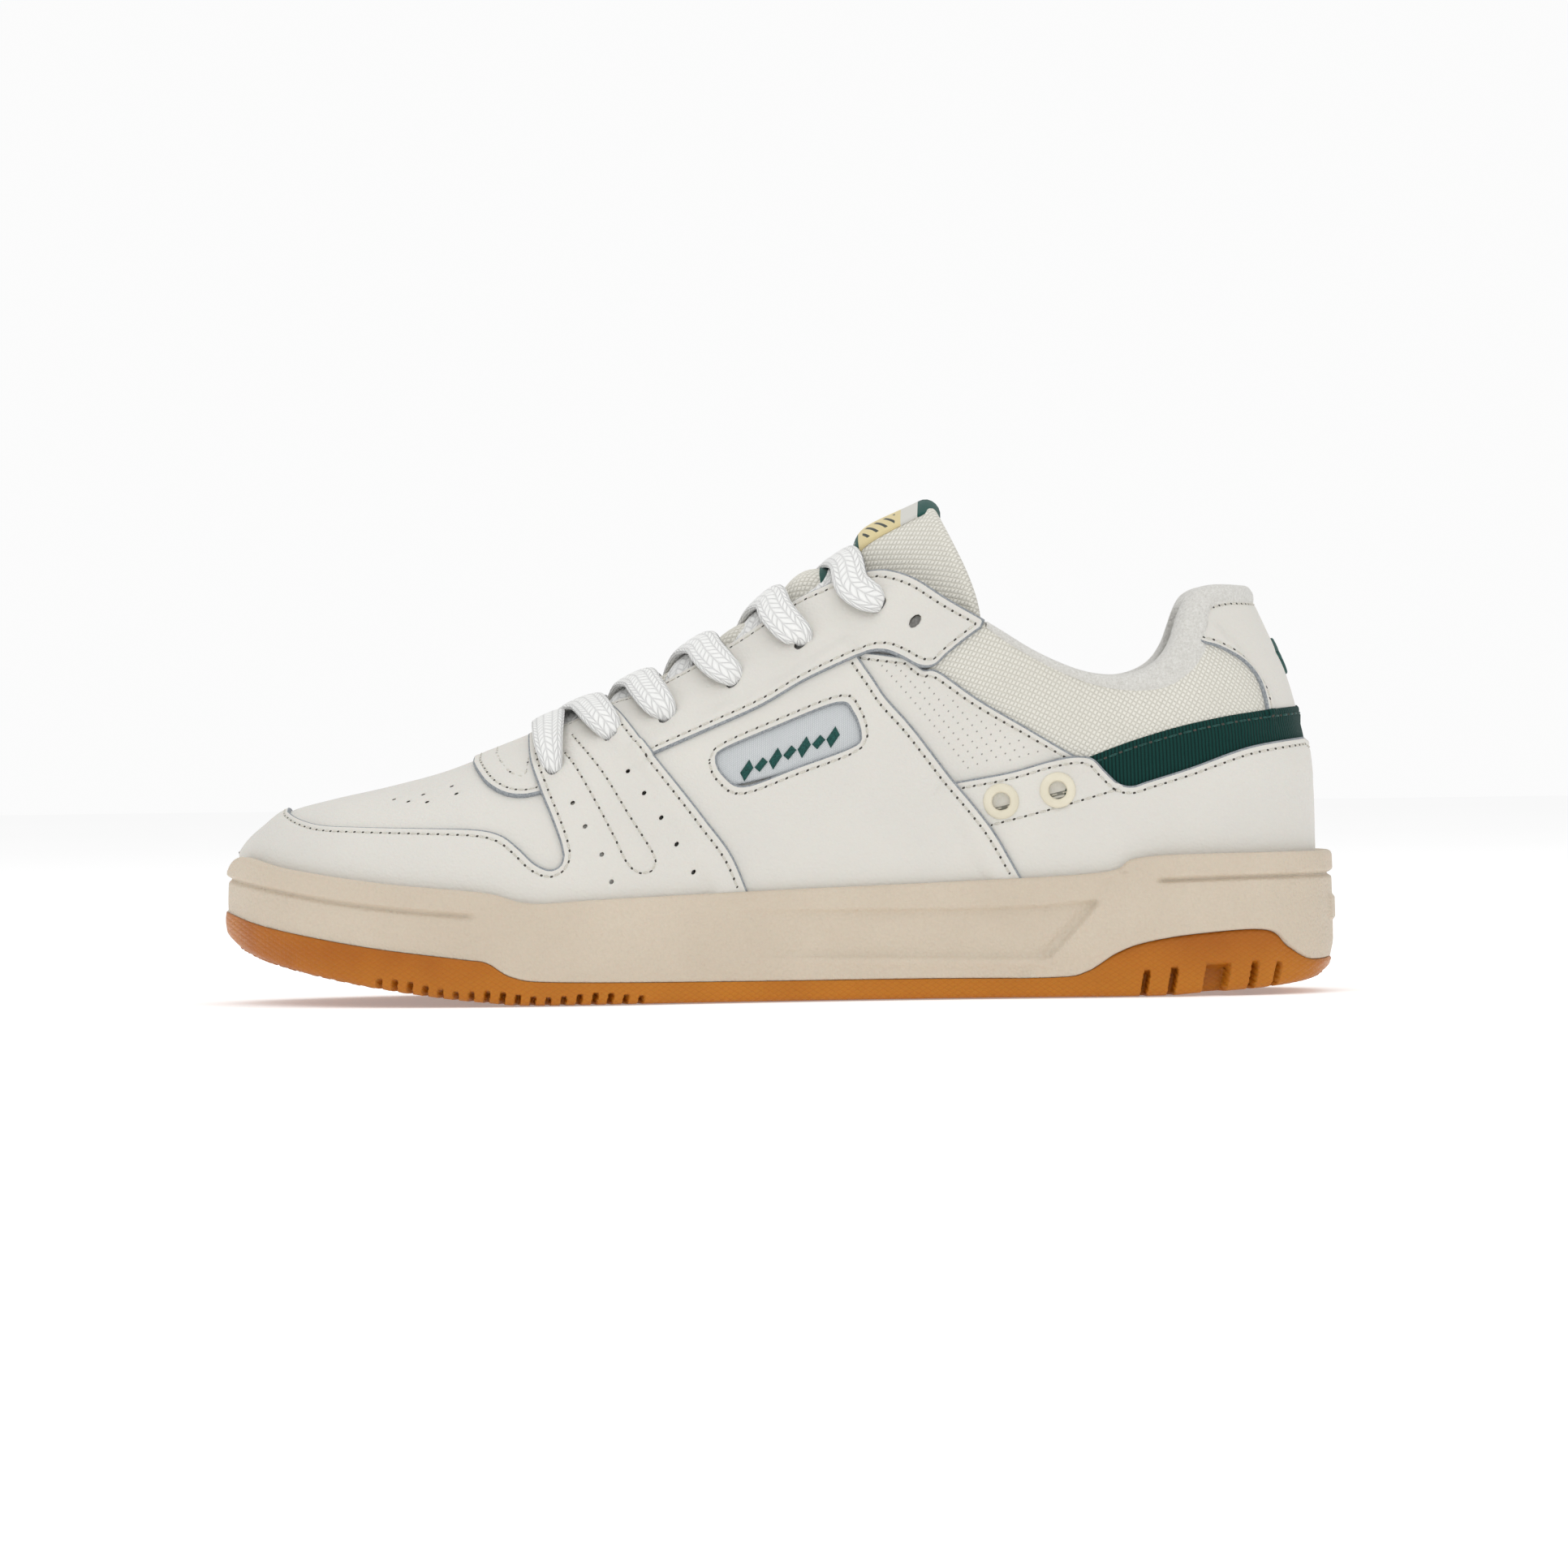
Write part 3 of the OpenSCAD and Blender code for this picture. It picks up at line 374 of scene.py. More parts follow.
def cut(layer, holes=(), grooves=(), puff=None, grid=GRID, lines=()):
    """Points, triangles and heights of a pattern, with rounded edges, holes and stitch grooves.
    holes are (centre, radius); grooves are (distance, depth) inside every cut edge."""
    line = layer.outline
    free = rings_of(line, False)
    for loop in layer.cutouts:
        free = free[depth_in(free, loop) < -0.6]
        free = np.vstack([free, rings_of(loop, True)])
    low, high = line.min(0), line.max(0)
    gx, gy = np.meshgrid(np.arange(low[0], high[0], grid), np.arange(low[1], high[1], grid * 0.87))
    gx = gx + (np.arange(gx.shape[0]) % 2 * grid / 2)[:, None]
    inner = np.stack([gx.ravel(), gy.ravel()], 1)
    inner = inner[(layer.depth(inner) > EDGE_RINGS[-1] + 0.5 * grid) & (inner[:, 0] > 0.5 * grid)]
    for row in lines:
        row = spaced(row, 0.8)
        free = free[open_distance(free, row) > 1.5]
        inner = inner[open_distance(inner, row) > 2.2]
        t = np.gradient(row, axis=0)
        n = np.stack([-t[:, 1], t[:, 0]], 1) / np.linalg.norm(t, axis=1)[:, None]
        free = np.vstack([free] + [row + n * d for d in (-1.2, -0.75, -0.35, 0, 0.35, 0.75, 1.2)])
    free = np.vstack([free, inner])
    loops = [line] + list(layer.cutouts)
    for centre, r in holes:
        sides = 20 if r > 1 else 10
        free = free[np.linalg.norm(free - centre, axis=1) > r + 0.7]
        loops.append(circle(centre, r, sides))
        free = np.vstack([free, circle(centre, r + 0.14, sides), circle(centre, r + 0.4, sides)])
    free = free[layer.depth(free) > 0.1]
    points = np.vstack(loops + [free])
    edges, start = [], 0
    for loop in loops:
        n = len(loop)
        edges += [(start + i, start + (i + 1) % n) for i in range(n)]
        start += n
    verts, _, faces, _, _, _ = delaunay_2d_cdt([Vector(p) for p in points.tolist()], edges, [], 0,
                                               1e-5)
    q = np.array([v[:] for v in verts])
    tri = np.array([f for f in faces if len(f) == 3])
    middle = q[tri].mean(1)
    keep = inside(middle, line)
    for loop in layer.cutouts:
        keep &= ~inside(middle, loop)
    for centre, r in holes:
        keep &= np.linalg.norm(middle - centre, axis=1) > r * 0.93
    tri = tri[keep]
    d = np.maximum(layer.depth(q), 0)
    h = layer.top(q) - edge_drop(d)
    for distance, depth in grooves:
        h -= depth * np.exp(-((d - distance) / 0.5) ** 2)
    if puff is not None:
        h += puff(q)
    for centre, r in holes:
        h -= edge_drop(np.maximum(np.linalg.norm(q - centre, axis=1) - r, 0), 0.7)
    return q, tri, h


def edge_drop(d, size=1.0):
    """How much a cut edge is rounded at distance d from it."""
    return 0.42 * size * np.clip(1 - d / 0.65, 0, 1) ** 2


def sheet_mesh(q, tri, h, wall):
    """Closes the pattern's points into 3-D faces, with walls down from every cut edge.
    Returns points, faces, the pattern place of each point, and 1 for each wall face."""
    key = {}
    merge = np.arange(len(q))
    for i in np.flatnonzero(np.abs(q[:, 0]) < 1e-4):   # the line where a toe pattern meets itself
        merge[i] = key.setdefault(round(abs(float(q[i, 1])), 3), i)
    tri = merge[tri]
    tri = tri[(tri[:, 0] != tri[:, 1]) & (tri[:, 1] != tri[:, 2]) & (tri[:, 0] != tri[:, 2])]
    used, index = np.unique(tri, return_inverse=True)
    tri = index.reshape(-1, 3)
    q, h = q[used], h[used]
    top = lifted(q, h)
    seen_edges = {}
    for f in tri.tolist():
        for a, b in ((f[0], f[1]), (f[1], f[2]), (f[2], f[0])):
            if (b, a) in seen_edges:
                del seen_edges[(b, a)]
            else:
                seen_edges[(a, b)] = True
    rim = sorted({i for edge in seen_edges for i in edge})
    lower = {i: len(q) + k for k, i in enumerate(rim)}
    under = lifted(q[rim], h[rim] - wall)
    walls = [(b, a, lower[a], lower[b]) for a, b in seen_edges]
    places = np.vstack([q, q[rim]])
    return np.vstack([top, under]), tri.tolist() + walls, places, [0] * len(tri) + [1] * len(walls)


# ---------- Making Blender objects ----------

def make(name, points, faces, materials, places=None, slots=None, soft=True, flip=False):
    mesh = bpy.data.meshes.new(name)
    if flip:
        faces = [tuple(reversed(f)) for f in faces]
    mesh.from_pydata((np.asarray(points) * MM).tolist(), [], [tuple(f) for f in faces])
    for m in materials:
        mesh.materials.append(m)
    if slots is not None:
        mesh.polygons.foreach_set("material_index", np.asarray(slots, np.int32))
    mesh.polygons.foreach_set("use_smooth", np.full(len(mesh.polygons), soft))
    if places is not None:
        layer = mesh.uv_layers.new(name="pattern")
        loops = np.zeros(len(mesh.loops), np.int32)
        mesh.loops.foreach_get("vertex_index", loops)
        layer.data.foreach_set("uv", (np.asarray(places)[loops] / 100).astype(np.float32).ravel())
    mesh.update()
    obj = bpy.data.objects.new(name, mesh)
    bpy.context.scene.collection.objects.link(obj)
    return obj


def grid_faces(rows, cols, wrap=False):
    last = cols if wrap else cols - 1
    return [(i * cols + j, i * cols + (j + 1) % cols, (i + 1) * cols + (j + 1) % cols,
             (i + 1) * cols + j) for i in range(rows - 1) for j in range(last)]


def stitch_rows(layer, distance, pitch, visible=None):
    """Places of the stitches that follow an outline at a distance: pairs of pattern places."""
    pairs = []
    for k, loop in enumerate([layer.outline] + list(layer.cutouts)):
        line = spaced(loop, 0.4, closed=True)
        p = line + inward(line) * (distance if k == 0 else -distance)
        good = (layer.depth(p) > distance - 0.12) & ~at_seam(line)
        if visible is not None:
            good &= visible(p)
        pairs.append(along_runs(p, good, pitch))
    return np.vstack(pairs)


def along_runs(p, good, pitch):
    pairs = []
    run = []
    for point, ok in list(zip(p, good)) + [(p[0], False)]:
        if ok and (not run or np.linalg.norm(point - run[-1]) < 2.5):
            run.append(point)
            continue
        if len(run) > 6:
            r = np.array(run)
            s = np.concatenate([[0], np.cumsum(np.linalg.norm(np.diff(r, axis=0), axis=1))])
            count = int(s[-1] / pitch)
            for k in range(count):
                ends = np.array([k + 0.12, k + 0.88]) * s[-1] / count
                pairs.append(np.stack([np.interp(ends, s, r[:, 0]),
                                       np.interp(ends, s, r[:, 1])], 1))
        run = [point] if ok else []
    return np.array(pairs).reshape(-1, 2, 2)


def stitch_mesh(pairs, height, thread=0.26):
    """Threads that arch over the leather, with a flat dark disc of painted shade for the needle
    hole at each end.
    """
    if not len(pairs):
        return np.zeros((0, 3)), [], []
    shares = np.array([0, 0.2, 0.5, 0.8, 1])
    rise = np.array([-0.28, 0.04, 0.12, 0.04, -0.28])
    girths = thread * np.array([0.6, 1, 1.08, 1, 0.6])
    q = pairs[:, :1] + (pairs[:, 1:] - pairs[:, :1]) * shares[None, :, None]
    flat = q.reshape(-1, 2)
    base = height(flat)
    n = normal(flat).reshape(-1, 5, 3)
    centre = surface(flat).reshape(-1, 5, 3) + n * (base.reshape(-1, 5) + rise)[..., None]
    t = centre[:, -1:] - centre[:, :1]
    t = t / np.linalg.norm(t, axis=2)[..., None]
    side = np.cross(n, t)
    sides = 6
    ang = np.linspace(0, 2 * np.pi, sides, endpoint=False)
    ring = (centre[:, :, None] + girths[None, :, None, None]
            * (np.cos(ang)[None, None, :, None] * side[:, :, None]
               + np.sin(ang)[None, None, :, None] * n[:, :, None] * 0.8))
    points = ring.reshape(-1, 3)
    one = grid_faces(5, sides, wrap=True)
    one += [tuple(range(sides - 1, -1, -1)), tuple(range(4 * sides, 5 * sides))]
    faces, slots = [], []
    for k in range(len(pairs)):
        faces += [tuple(i + k * 5 * sides for i in f) for f in one]
    slots += [0] * len(faces)
    # needle holes: flat dark discs of painted shade just above the leather, outside each end
    ends = np.concatenate([pairs[:, 0] - 0.1 * (pairs[:, 1] - pairs[:, 0]),
                           pairs[:, 1] + 0.1 * (pairs[:, 1] - pairs[:, 0])])
    discs = (ends[:, None] + 0.31 * np.stack([np.cos(ang), np.sin(ang)], 1)[None]).reshape(-1, 2)
    start = len(points)
    points = np.vstack([points, lifted(discs, height(discs) + 0.08)])
    holes = [tuple(start + k * sides + j for j in range(sides)) for k in range(len(ends))]
    return points, faces + holes, slots + [1] * len(holes)


# ---------- Materials ----------

class Nodes:
    """A small helper to write a material's nodes as expressions."""

    def __init__(self, name):
        self.material = bpy.data.materials.new(name)
        self.material.use_nodes = True
        self.tree = self.material.node_tree
        self.shader = self.tree.nodes["Principled BSDF"]

    def node(self, kind, inputs=(), **settings):
        n = self.tree.nodes.new(kind)
        for key, value in settings.items():
            setattr(n, key, value)
        for key, value in dict(inputs).items():
            self.put(n.inputs[key], value)
        return n

    def put(self, socket, value):
        if isinstance(value, bpy.types.NodeSocket):
            self.tree.links.new(value, socket)
        elif isinstance(value, (list, tuple)) and len(value) == 3 and socket.type == "RGBA":
            socket.default_value = (*value, 1)
        else:
            socket.default_value = value

    def math(self, operation, *values):
        n = self.tree.nodes.new("ShaderNodeMath")
        n.operation = operation
        for socket, value in zip(n.inputs, values):
            self.put(socket, value)
        return n.outputs[0]

    def mul(self, a, b):
        return self.math("MULTIPLY", a, b)

    def add(self, a, b):
        return self.math("ADD", a, b)

    def wave(self, value, count=1):
        """Rounded ridges, count of them in each unit of the value."""
        return self.math("ABSOLUTE", self.math("SINE", self.mul(value, math.pi * count)))

    def where(self, source="Object"):
        return self.node("ShaderNodeTexCoord").outputs[source]

    def scaled(self, vector, scale):
        return self.node("ShaderNodeMapping", {"Vector": vector, "Scale": scale}).outputs[0]

    def noise(self, vector, scale, detail=2.0, rough=0.5):
        return self.node("ShaderNodeTexNoise", {"Vector": vector, "Scale": scale, "Detail": detail,
                                                "Roughness": rough}).outputs["Fac"]

    def cells(self, vector, scale, feature="F1", out="Distance", smoothness=None):
        n = self.node("ShaderNodeTexVoronoi", {"Vector": vector, "Scale": scale}, feature=feature)
        if smoothness is not None:
            n.inputs["Smoothness"].default_value = smoothness
        return n.outputs[out]

    def ramp(self, value, low, high, at_low=0.0, at_high=1.0):
        n = self.node("ShaderNodeMapRange", {"Value": value, "From Min": low, "From Max": high,
                                             "To Min": at_low, "To Max": at_high})
        return n.outputs[0]

    def mix(self, factor, a, b):
        n = self.tree.nodes.new("ShaderNodeMix")
        n.data_type = "RGBA"
        self.put(n.inputs[0], factor)
        self.put(n.inputs[6], a)
        self.put(n.inputs[7], b)
        return n.outputs[2]

    def bump(self, height, distance_mm, strength=1.0, below=None):
        n = self.node("ShaderNodeBump", {"Height": height, "Strength": strength,
                                         "Distance": distance_mm * MM})
        if below is not None:
            self.put(n.inputs["Normal"], below)
        return n.outputs[0]

    def finish(self, colour, rough, bump=None, **fixed):
        self.put(self.shader.inputs["Base Color"], colour)
        self.put(self.shader.inputs["Roughness"], rough)
        if bump is not None:
            self.put(self.shader.inputs["Normal"], bump)
        for key, value in fixed.items():
            self.put(self.shader.inputs[key.replace("_", " ")], value)
        return self.material

    def pattern(self, pitch_u, pitch_v=None, turn=0.0):
        """Pattern coordinates in units of the pitch, given in millimetres."""
        turned = self.node("ShaderNodeMapping", {"Vector": self.where("UV"),
                                                 "Rotation": (0, 0, turn)}).outputs[0]
        both = self.scaled(turned, (100 / pitch_u, 100 / (pitch_v or pitch_u), 1))
        split = self.node("ShaderNodeSeparateXYZ", {"Vector": both})
        return split.outputs[0], split.outputs[1]


def leather(name, colour, shade, grain=0.15):
    m = Nodes(name)
    p = m.where()
    tone = m.noise(p, 28, 3)
    fine = m.noise(p, 900, 4, 0.6)
    pores = m.cells(p, 1250, "SMOOTH_F1", smoothness=0.35)
    creases = m.noise(m.scaled(p, (1, 1, 2.2)), 160, 5, 0.62)
    height = m.add(m.mul(fine, 0.5), m.mul(pores, 0.6))
    height = m.add(height, m.mul(creases, 1.1))
    tint = m.mix(m.ramp(tone, 0.3, 0.7), shade, colour)
    tint = m.mix(m.ramp(fine, 0.2, 0.75, 0.0, 0.3), tint, colour)
    rough = m.ramp(m.noise(p, 420, 3), 0.3, 0.7, 0.44, 0.58)
    return m.finish(tint, rough, m.bump(height, grain), Specular_IOR_Level=0.42,
                    Subsurface_Weight=0.04, Subsurface_Scale=0.004)


def cut_edge(name, colour, dark):
    m = Nodes(name)
    p = m.where()
    fibre = m.noise(p, 1900, 4, 0.7)
    tint = m.mix(m.ramp(fibre, 0.35, 0.7), dark, colour)
    return m.finish(tint, 0.92, m.bump(fibre, 0.25), Specular_IOR_Level=0.2)


def woven(name, colour, dark, pitch, block=1, height_mm=0.22, sheen=0.2, slub=0.25, turn=0.0):
    """Over-and-under weave, block threads at a time."""
    m = Nodes(name)
    u, v = m.pattern(pitch, turn=turn)
    wave_u = m.wave(u, block)
    wave_v = m.wave(v, block)
    parity = m.add(m.math("FLOOR", u), m.math("FLOOR", v))
    over = m.math("GREATER_THAN", m.math("FRACT", m.mul(parity, 0.5)), 0.25)
    crown_u = m.math("SQRT", m.wave(u))
    crown_v = m.math("SQRT", m.wave(v))
    warp = m.mul(wave_u, crown_v)
    weft = m.mul(wave_v, crown_u)
    height = m.add(m.mul(over, warp),
                    m.mul(m.math("SUBTRACT", 1.0, over), weft))
    fuzz = m.noise(m.where(), 2600, 3, 0.7)
    height = m.add(height, m.mul(fuzz, slub))
    # thread crowns lighter, the gaps between threads darker: painted shade
    tint = m.mix(m.ramp(height, 0.15, 0.85), dark, colour)
    tint = m.mix(m.ramp(m.noise(m.where(), 60, 2), 0.35, 0.7, 0, 0.25), tint, dark)
    return m.finish(tint, 0.9, m.bump(height, height_mm), Specular_IOR_Level=0.15,
                    Sheen_Weight=sheen, Sheen_Roughness=0.5)


def ribbed(name, colour, dark, pitch):
    """Grosgrain ribbon with ribs across its length."""
    m = Nodes(name)
    u, v = m.pattern(pitch)
    rib = m.math("POWER", m.wave(u), 0.7)
    yarn = m.wave(v, 3)
    fuzz = m.noise(m.where(), 2400, 3)
    height = m.add(rib, m.add(m.mul(yarn, 0.12),
                                       m.mul(fuzz, 0.2)))
    # rib crowns lighter, the valleys between ribs darker: painted shade
    tint = m.mix(m.ramp(height, 0.2, 1.1), dark, colour)
    return m.finish(tint, 0.72, m.bump(height, 0.3), Specular_IOR_Level=0.15, Sheen_Weight=0.05,
                    Sheen_Roughness=0.4)


def lace_cloth(name, colour, dark):
    """Flat tubular weave whose yarns slant to both edges. The pattern runs along and across it."""
    m = Nodes(name)
    u, v = m.pattern(2.3, 1.25)
    slant = m.math("PINGPONG", v, 1.0)
    a = m.math("ABSOLUTE", m.math("SINE", m.mul(m.add(u, slant), math.pi)))
    b = m.wave(v)
    fuzz = m.noise(m.where(), 2200, 4, 0.7)
    height = m.add(m.mul(m.math("SQRT", a), m.math("SQRT", b)),
                    m.mul(fuzz, 0.55))
    # yarn crowns lighter, the hollows between yarns darker: painted shade
    tint = m.mix(m.ramp(height, 0.25, 1.0), dark, colour)
    return m.finish(tint, 0.95, m.bump(height, 0.35), Specular_IOR_Level=0.1, Sheen_Weight=0.35,
                    Sheen_Roughness=0.6)


def brushed(name, colour, dark):
    m = Nodes(name)
    p = m.where()
    loops = m.cells(p, 950, "SMOOTH_F1", smoothness=0.6)
    fuzz = m.noise(p, 1700, 5, 0.75)
    height = m.add(m.mul(loops, -0.9), fuzz)
    tint = m.mix(m.ramp(fuzz, 0.3, 0.65), dark, colour)
    return m.finish(tint, 0.97, m.bump(height, 0.45), Specular_IOR_Level=0.08, Sheen_Weight=0.5,
                    Sheen_Roughness=0.6)


def pebbled(name, colour, dark, scale=1150, height_mm=0.26, rough=0.55):
    """Moulded rubber with a fine leathery pebble."""
    m = Nodes(name)
    p = m.where()
    pebbles = m.cells(p, scale, "SMOOTH_F1", smoothness=0.55)
    fine = m.noise(p, 1500, 3)
    tone = m.noise(p, 35, 3)
    height = m.add(m.mul(pebbles, -1.0), m.mul(fine, 0.25))
    tint = m.mix(m.ramp(tone, 0.3, 0.75), dark, colour)
    # darker in the creases between pebbles: painted shade
    tint = m.mix(m.ramp(pebbles, 0.25, 0.75, 0, 0.35), tint, dark)
    return m.finish(tint, rough, m.bump(height, height_mm), Specular_IOR_Level=0.35,
                    Subsurface_Weight=0.05, Subsurface_Scale=0.003)


def gum(name, colour, golden_glow, dark):
    """Amber rubber, lighter and more golden towards the bottom as a painted glow, with a fine
    diamond texture on its wall whose grooves are darkened as painted shade.
    """
    m = Nodes(name)
    p = m.where()
    split = m.node("ShaderNodeSeparateXYZ", {"Vector": p})
    x, z = split.outputs[0], split.outputs[2]
    u = m.mul(m.add(x, m.mul(z, 1.6)), 430)
    v = m.mul(m.math("SUBTRACT", x, m.mul(z, 1.6)), 430)
    lines = m.mul(m.wave(u),
                   m.wave(v))
    fine = m.noise(p, 1300, 3)
    height = m.add(m.mul(lines, 0.6), m.mul(fine, 0.8))
    tint = m.mix(m.ramp(m.noise(p, 45, 2), 0.3, 0.75), colour, dark)
    # lighter and more golden towards the bottom: painted glow
    tint = m.mix(m.ramp(z, 0.0, 0.014, 0.55, 0.0), tint, golden_glow)
    # darker in the grooves of the diamond texture: painted shade
    tint = m.mix(m.ramp(lines, 0.0, 0.3, 0.3, 0.0), tint, dark)
    rough = m.ramp(fine, 0.3, 0.7, 0.3, 0.42)
    return m.finish(tint, rough, m.bump(height, 0.16), Specular_IOR_Level=0.25,
                    Subsurface_Weight=0.12, Subsurface_Scale=0.004)


def thread(name, colour, dark):
    m = Nodes(name)
    p = m.where()
    twist = m.noise(p, 3000, 2)
    tint = m.mix(m.ramp(twist, 0.3, 0.7), dark, colour)
    return m.finish(tint, 0.75, m.bump(twist, 0.12), Specular_IOR_Level=0.25, Sheen_Weight=0.2)


# a flat dark colour that stands for holes: painted shade inside them
def hole_shade_material(name, colour, dark):
    m = Nodes(name)
    tint = m.mix(m.noise(m.where(), 900), dark, colour)
    return m.finish(tint, 0.95, Specular_IOR_Level=0.1)


def moulded(name, colour, dark, rough=0.4):
    m = Nodes(name)
    p = m.where()
    fine = m.noise(p, 800, 3)
    tint = m.mix(m.ramp(m.noise(p, 200, 2), 0.3, 0.7), dark, colour)
    return m.finish(tint, m.ramp(fine, 0.3, 0.7, rough, rough + 0.12), m.bump(fine, 0.03),
                    Specular_IOR_Level=0.45)


LEATHER = leather("ivory_leather", (0.71, 0.688, 0.635), (0.67, 0.65, 0.605))
EDGE = cut_edge("cut_leather_edge", (0.45, 0.47, 0.485), (0.2, 0.22, 0.24))
CANVAS = woven("cream_canvas", (0.83, 0.81, 0.735), (0.66, 0.635, 0.555), 1.2,
               height_mm=0.3, turn=0.6)
TWILL = woven("grey_twill", (0.66, 0.68, 0.69), (0.5, 0.525, 0.54), 0.55, height_mm=0.08)
CLOTH = woven("white_lining_cloth", (0.74, 0.73, 0.7), (0.5, 0.49, 0.46), 0.7, height_mm=0.12)
BRUSHED = brushed("brushed_lining", (0.86, 0.85, 0.81), (0.62, 0.6, 0.55))
RIBBON = ribbed("green_grosgrain", (0.004, 0.045, 0.038), (0.0015, 0.014, 0.012), 1.0)
LACE = lace_cloth("white_lace", (0.92, 0.92, 0.9), (0.72, 0.72, 0.71))
CUP = pebbled("cream_rubber", (0.64, 0.555, 0.445), (0.585, 0.5, 0.395))
GUM = gum("gum_rubber", (0.46, 0.15, 0.01), (0.58, 0.23, 0.018), (0.36, 0.1, 0.006))
THREAD = thread("off_white_thread", (0.72, 0.695, 0.62), (0.5, 0.48, 0.42))
GREEN_THREAD = thread("green_thread", (0.014, 0.1, 0.085), (0.004, 0.035, 0.03))
# painted shade of the needle holes and of the walls inside punched holes
HOLE_SHADE = hole_shade_material("needle_hole_shade", (0.12, 0.11, 0.095), (0.05, 0.046, 0.04))
RING = moulded("cream_plastic", (0.76, 0.71, 0.57), (0.7, 0.65, 0.51))
TIP_FILM = moulded("clear_tip_film", (0.7, 0.71, 0.71), (0.6, 0.61, 0.62), 0.25)
FOAM = brushed("open_foam", (0.8, 0.76, 0.6), (0.65, 0.6, 0.45))
BOARD = moulded("stiffener_board", (0.5, 0.5, 0.49), (0.4, 0.4, 0.39), 0.7)
# grey of the cloth deep inside the vent rings: painted shade
VENT_BACK_SHADED = woven("vent_cloth_painted_shade", (0.42, 0.42, 0.38), (0.25, 0.25, 0.22), 0.6, height_mm=0.1)
# painted shade of the fine perforations
PIN_HOLE_SHADE = hole_shade_material("pin_hole_shade", (0.36, 0.35, 0.32), (0.24, 0.23, 0.21))


def label_cloth():
    """Woven ribbon in blocks of green, white and pale yellow along its length."""
    m = Nodes("label_ribbon")
    u, v = m.pattern(1.0)
    green, white, yellow, dark = ((0.01, 0.085, 0.07), (0.72, 0.71, 0.66), (0.78, 0.66, 0.36),
                                  (0.05, 0.06, 0.05))
    tint = m.mix(m.math("GREATER_THAN", u, 14.5), green, yellow)
    tint = m.mix(m.math("GREATER_THAN", u, 26.0), tint, white)
    tint = m.mix(m.math("GREATER_THAN", u, 30.5), tint, green)
    # small slanting bars, as on a club ribbon
    slant = m.math("FRACT", m.mul(m.add(u, m.mul(v, 0.5)), 0.42))
    bars = m.math("LESS_THAN", slant, 0.32)
    middle = m.math("LESS_THAN", m.math("ABSOLUTE", m.math("SUBTRACT", m.math("ABSOLUTE", v), 7.6)),
                    3.0)
    bars = m.mul(bars, middle)
    in_white = m.mul(m.math("GREATER_THAN", u, 6.0), m.math("LESS_THAN", u, 13.0))
    tint = m.mix(m.mul(bars, in_white), tint, white)
    in_yellow = m.mul(m.math("GREATER_THAN", u, 16.0), m.math("LESS_THAN", u, 24.5))
    tint = m.mix(m.mul(bars, in_yellow), tint, dark)
    weave = m.mul(m.math("SINE", m.mul(u, 14.0)),
                   m.math("SINE", m.mul(v, 14.0)))
    return m.finish(tint, 0.7, m.bump(weave, 0.06), Specular_IOR_Level=0.25, Sheen_Weight=0.2)


LABEL = label_cloth()


# ---------- The pieces' outlines, drawn in the side view on the outer half ----------

def bottom(x0, x1, below=5.0):
    """Hidden lower edge inside the cup, between two stations."""
    x = np.linspace(x0, x1, 40)
    return at(x, section_place(x, cup_z(x) - below))


def round_toe(*lines):
    """A toe pattern: the lines run from its outer rear corner to the ridge; the inner half, the
    hidden lower edge and the line where the pattern meets itself are added."""
    low = bottom(np.interp(lines[0][0, 0], along, angle_x), -TIP + 0.001)
    low[-1, 0] = 0
    mirror = [1, -1]
    stem = np.array([low[-1] * mirror, low[-1]])
    return joined(*lines, *[(part * mirror)[::-1] for part in reversed(lines)], low * mirror, stem,
                  low[::-1])


def round_heel(line, start_low):
    """A heel pattern: the line runs along the top from front to heel, and start_low from heel to
    front."""
    def mirrored(part):
        return np.stack([2 * HEEL_A - part[:, 0], part[:, 1]], 1)[::-1]
    return joined(line, mirrored(line), mirrored(start_low), start_low)


MUDGUARD_TOP = [[-56.5, 39.5], [-57.3, 37], [-60, 35.9], [-64, 37.7], [-68.5, 42], [-73, 45.3],
                [-80, 46.9], [-95, 47.4], [-110, 47.8], [-121, 48.3], [-127.5, 49.8],
                [-131.5, 51.8]]
WING_FRONT = [[-66, 70.8], [-65.2, 64], [-62.7, 57], [-59.7, 49.8], [-57.4, 43.5], [-56.5, 39.5]]
WING_TOP = [[-44.6, 79.8], [-55, 75], [-66, 70.8]]
WING_REAR = [[-6.2, 24.4], [-11.6, 38.3], [-18.5, 48.1], [-25.3, 57], [-32.8, 66.4], [-40.3, 76],
             [-44.6, 79.8]]
FACING_TOP = [[-50, 77.2], [-43.9, 80.1], [-32, 84.4], [-12.3, 95.2], [5.3, 106.7], [13.7, 110.7],
              [19.8, 113.2], [25.6, 114.5], [31, 114.6], [38, 112.2], [46.5, 106.6], [56.2, 100.8]]
FACING_END = [[56.2, 100.8], [55.3, 98.6]]
FACING_LOW = [[55.3, 98.6], [50.3, 95], [45.8, 91.4], [43.4, 89.1], [41.2, 88.2], [38, 88.6],
              [33.6, 91], [29.5, 92.6], [25.3, 92.5], [21.1, 90.7], [8.5, 85], [-4.1, 77.9],
              [-18.1, 71.8], [-32.8, 65.5], [-38, 63]]
MID_REAR = [[68.5, 26], [64.4, 33], [58.4, 43.7], [52.9, 51.2], [47.5, 57.8], [41.3, 66.2],
            [35.9, 73.3], [29.8, 80.3], [26.4, 85.5], [22.4, 91.5], [20, 96]]
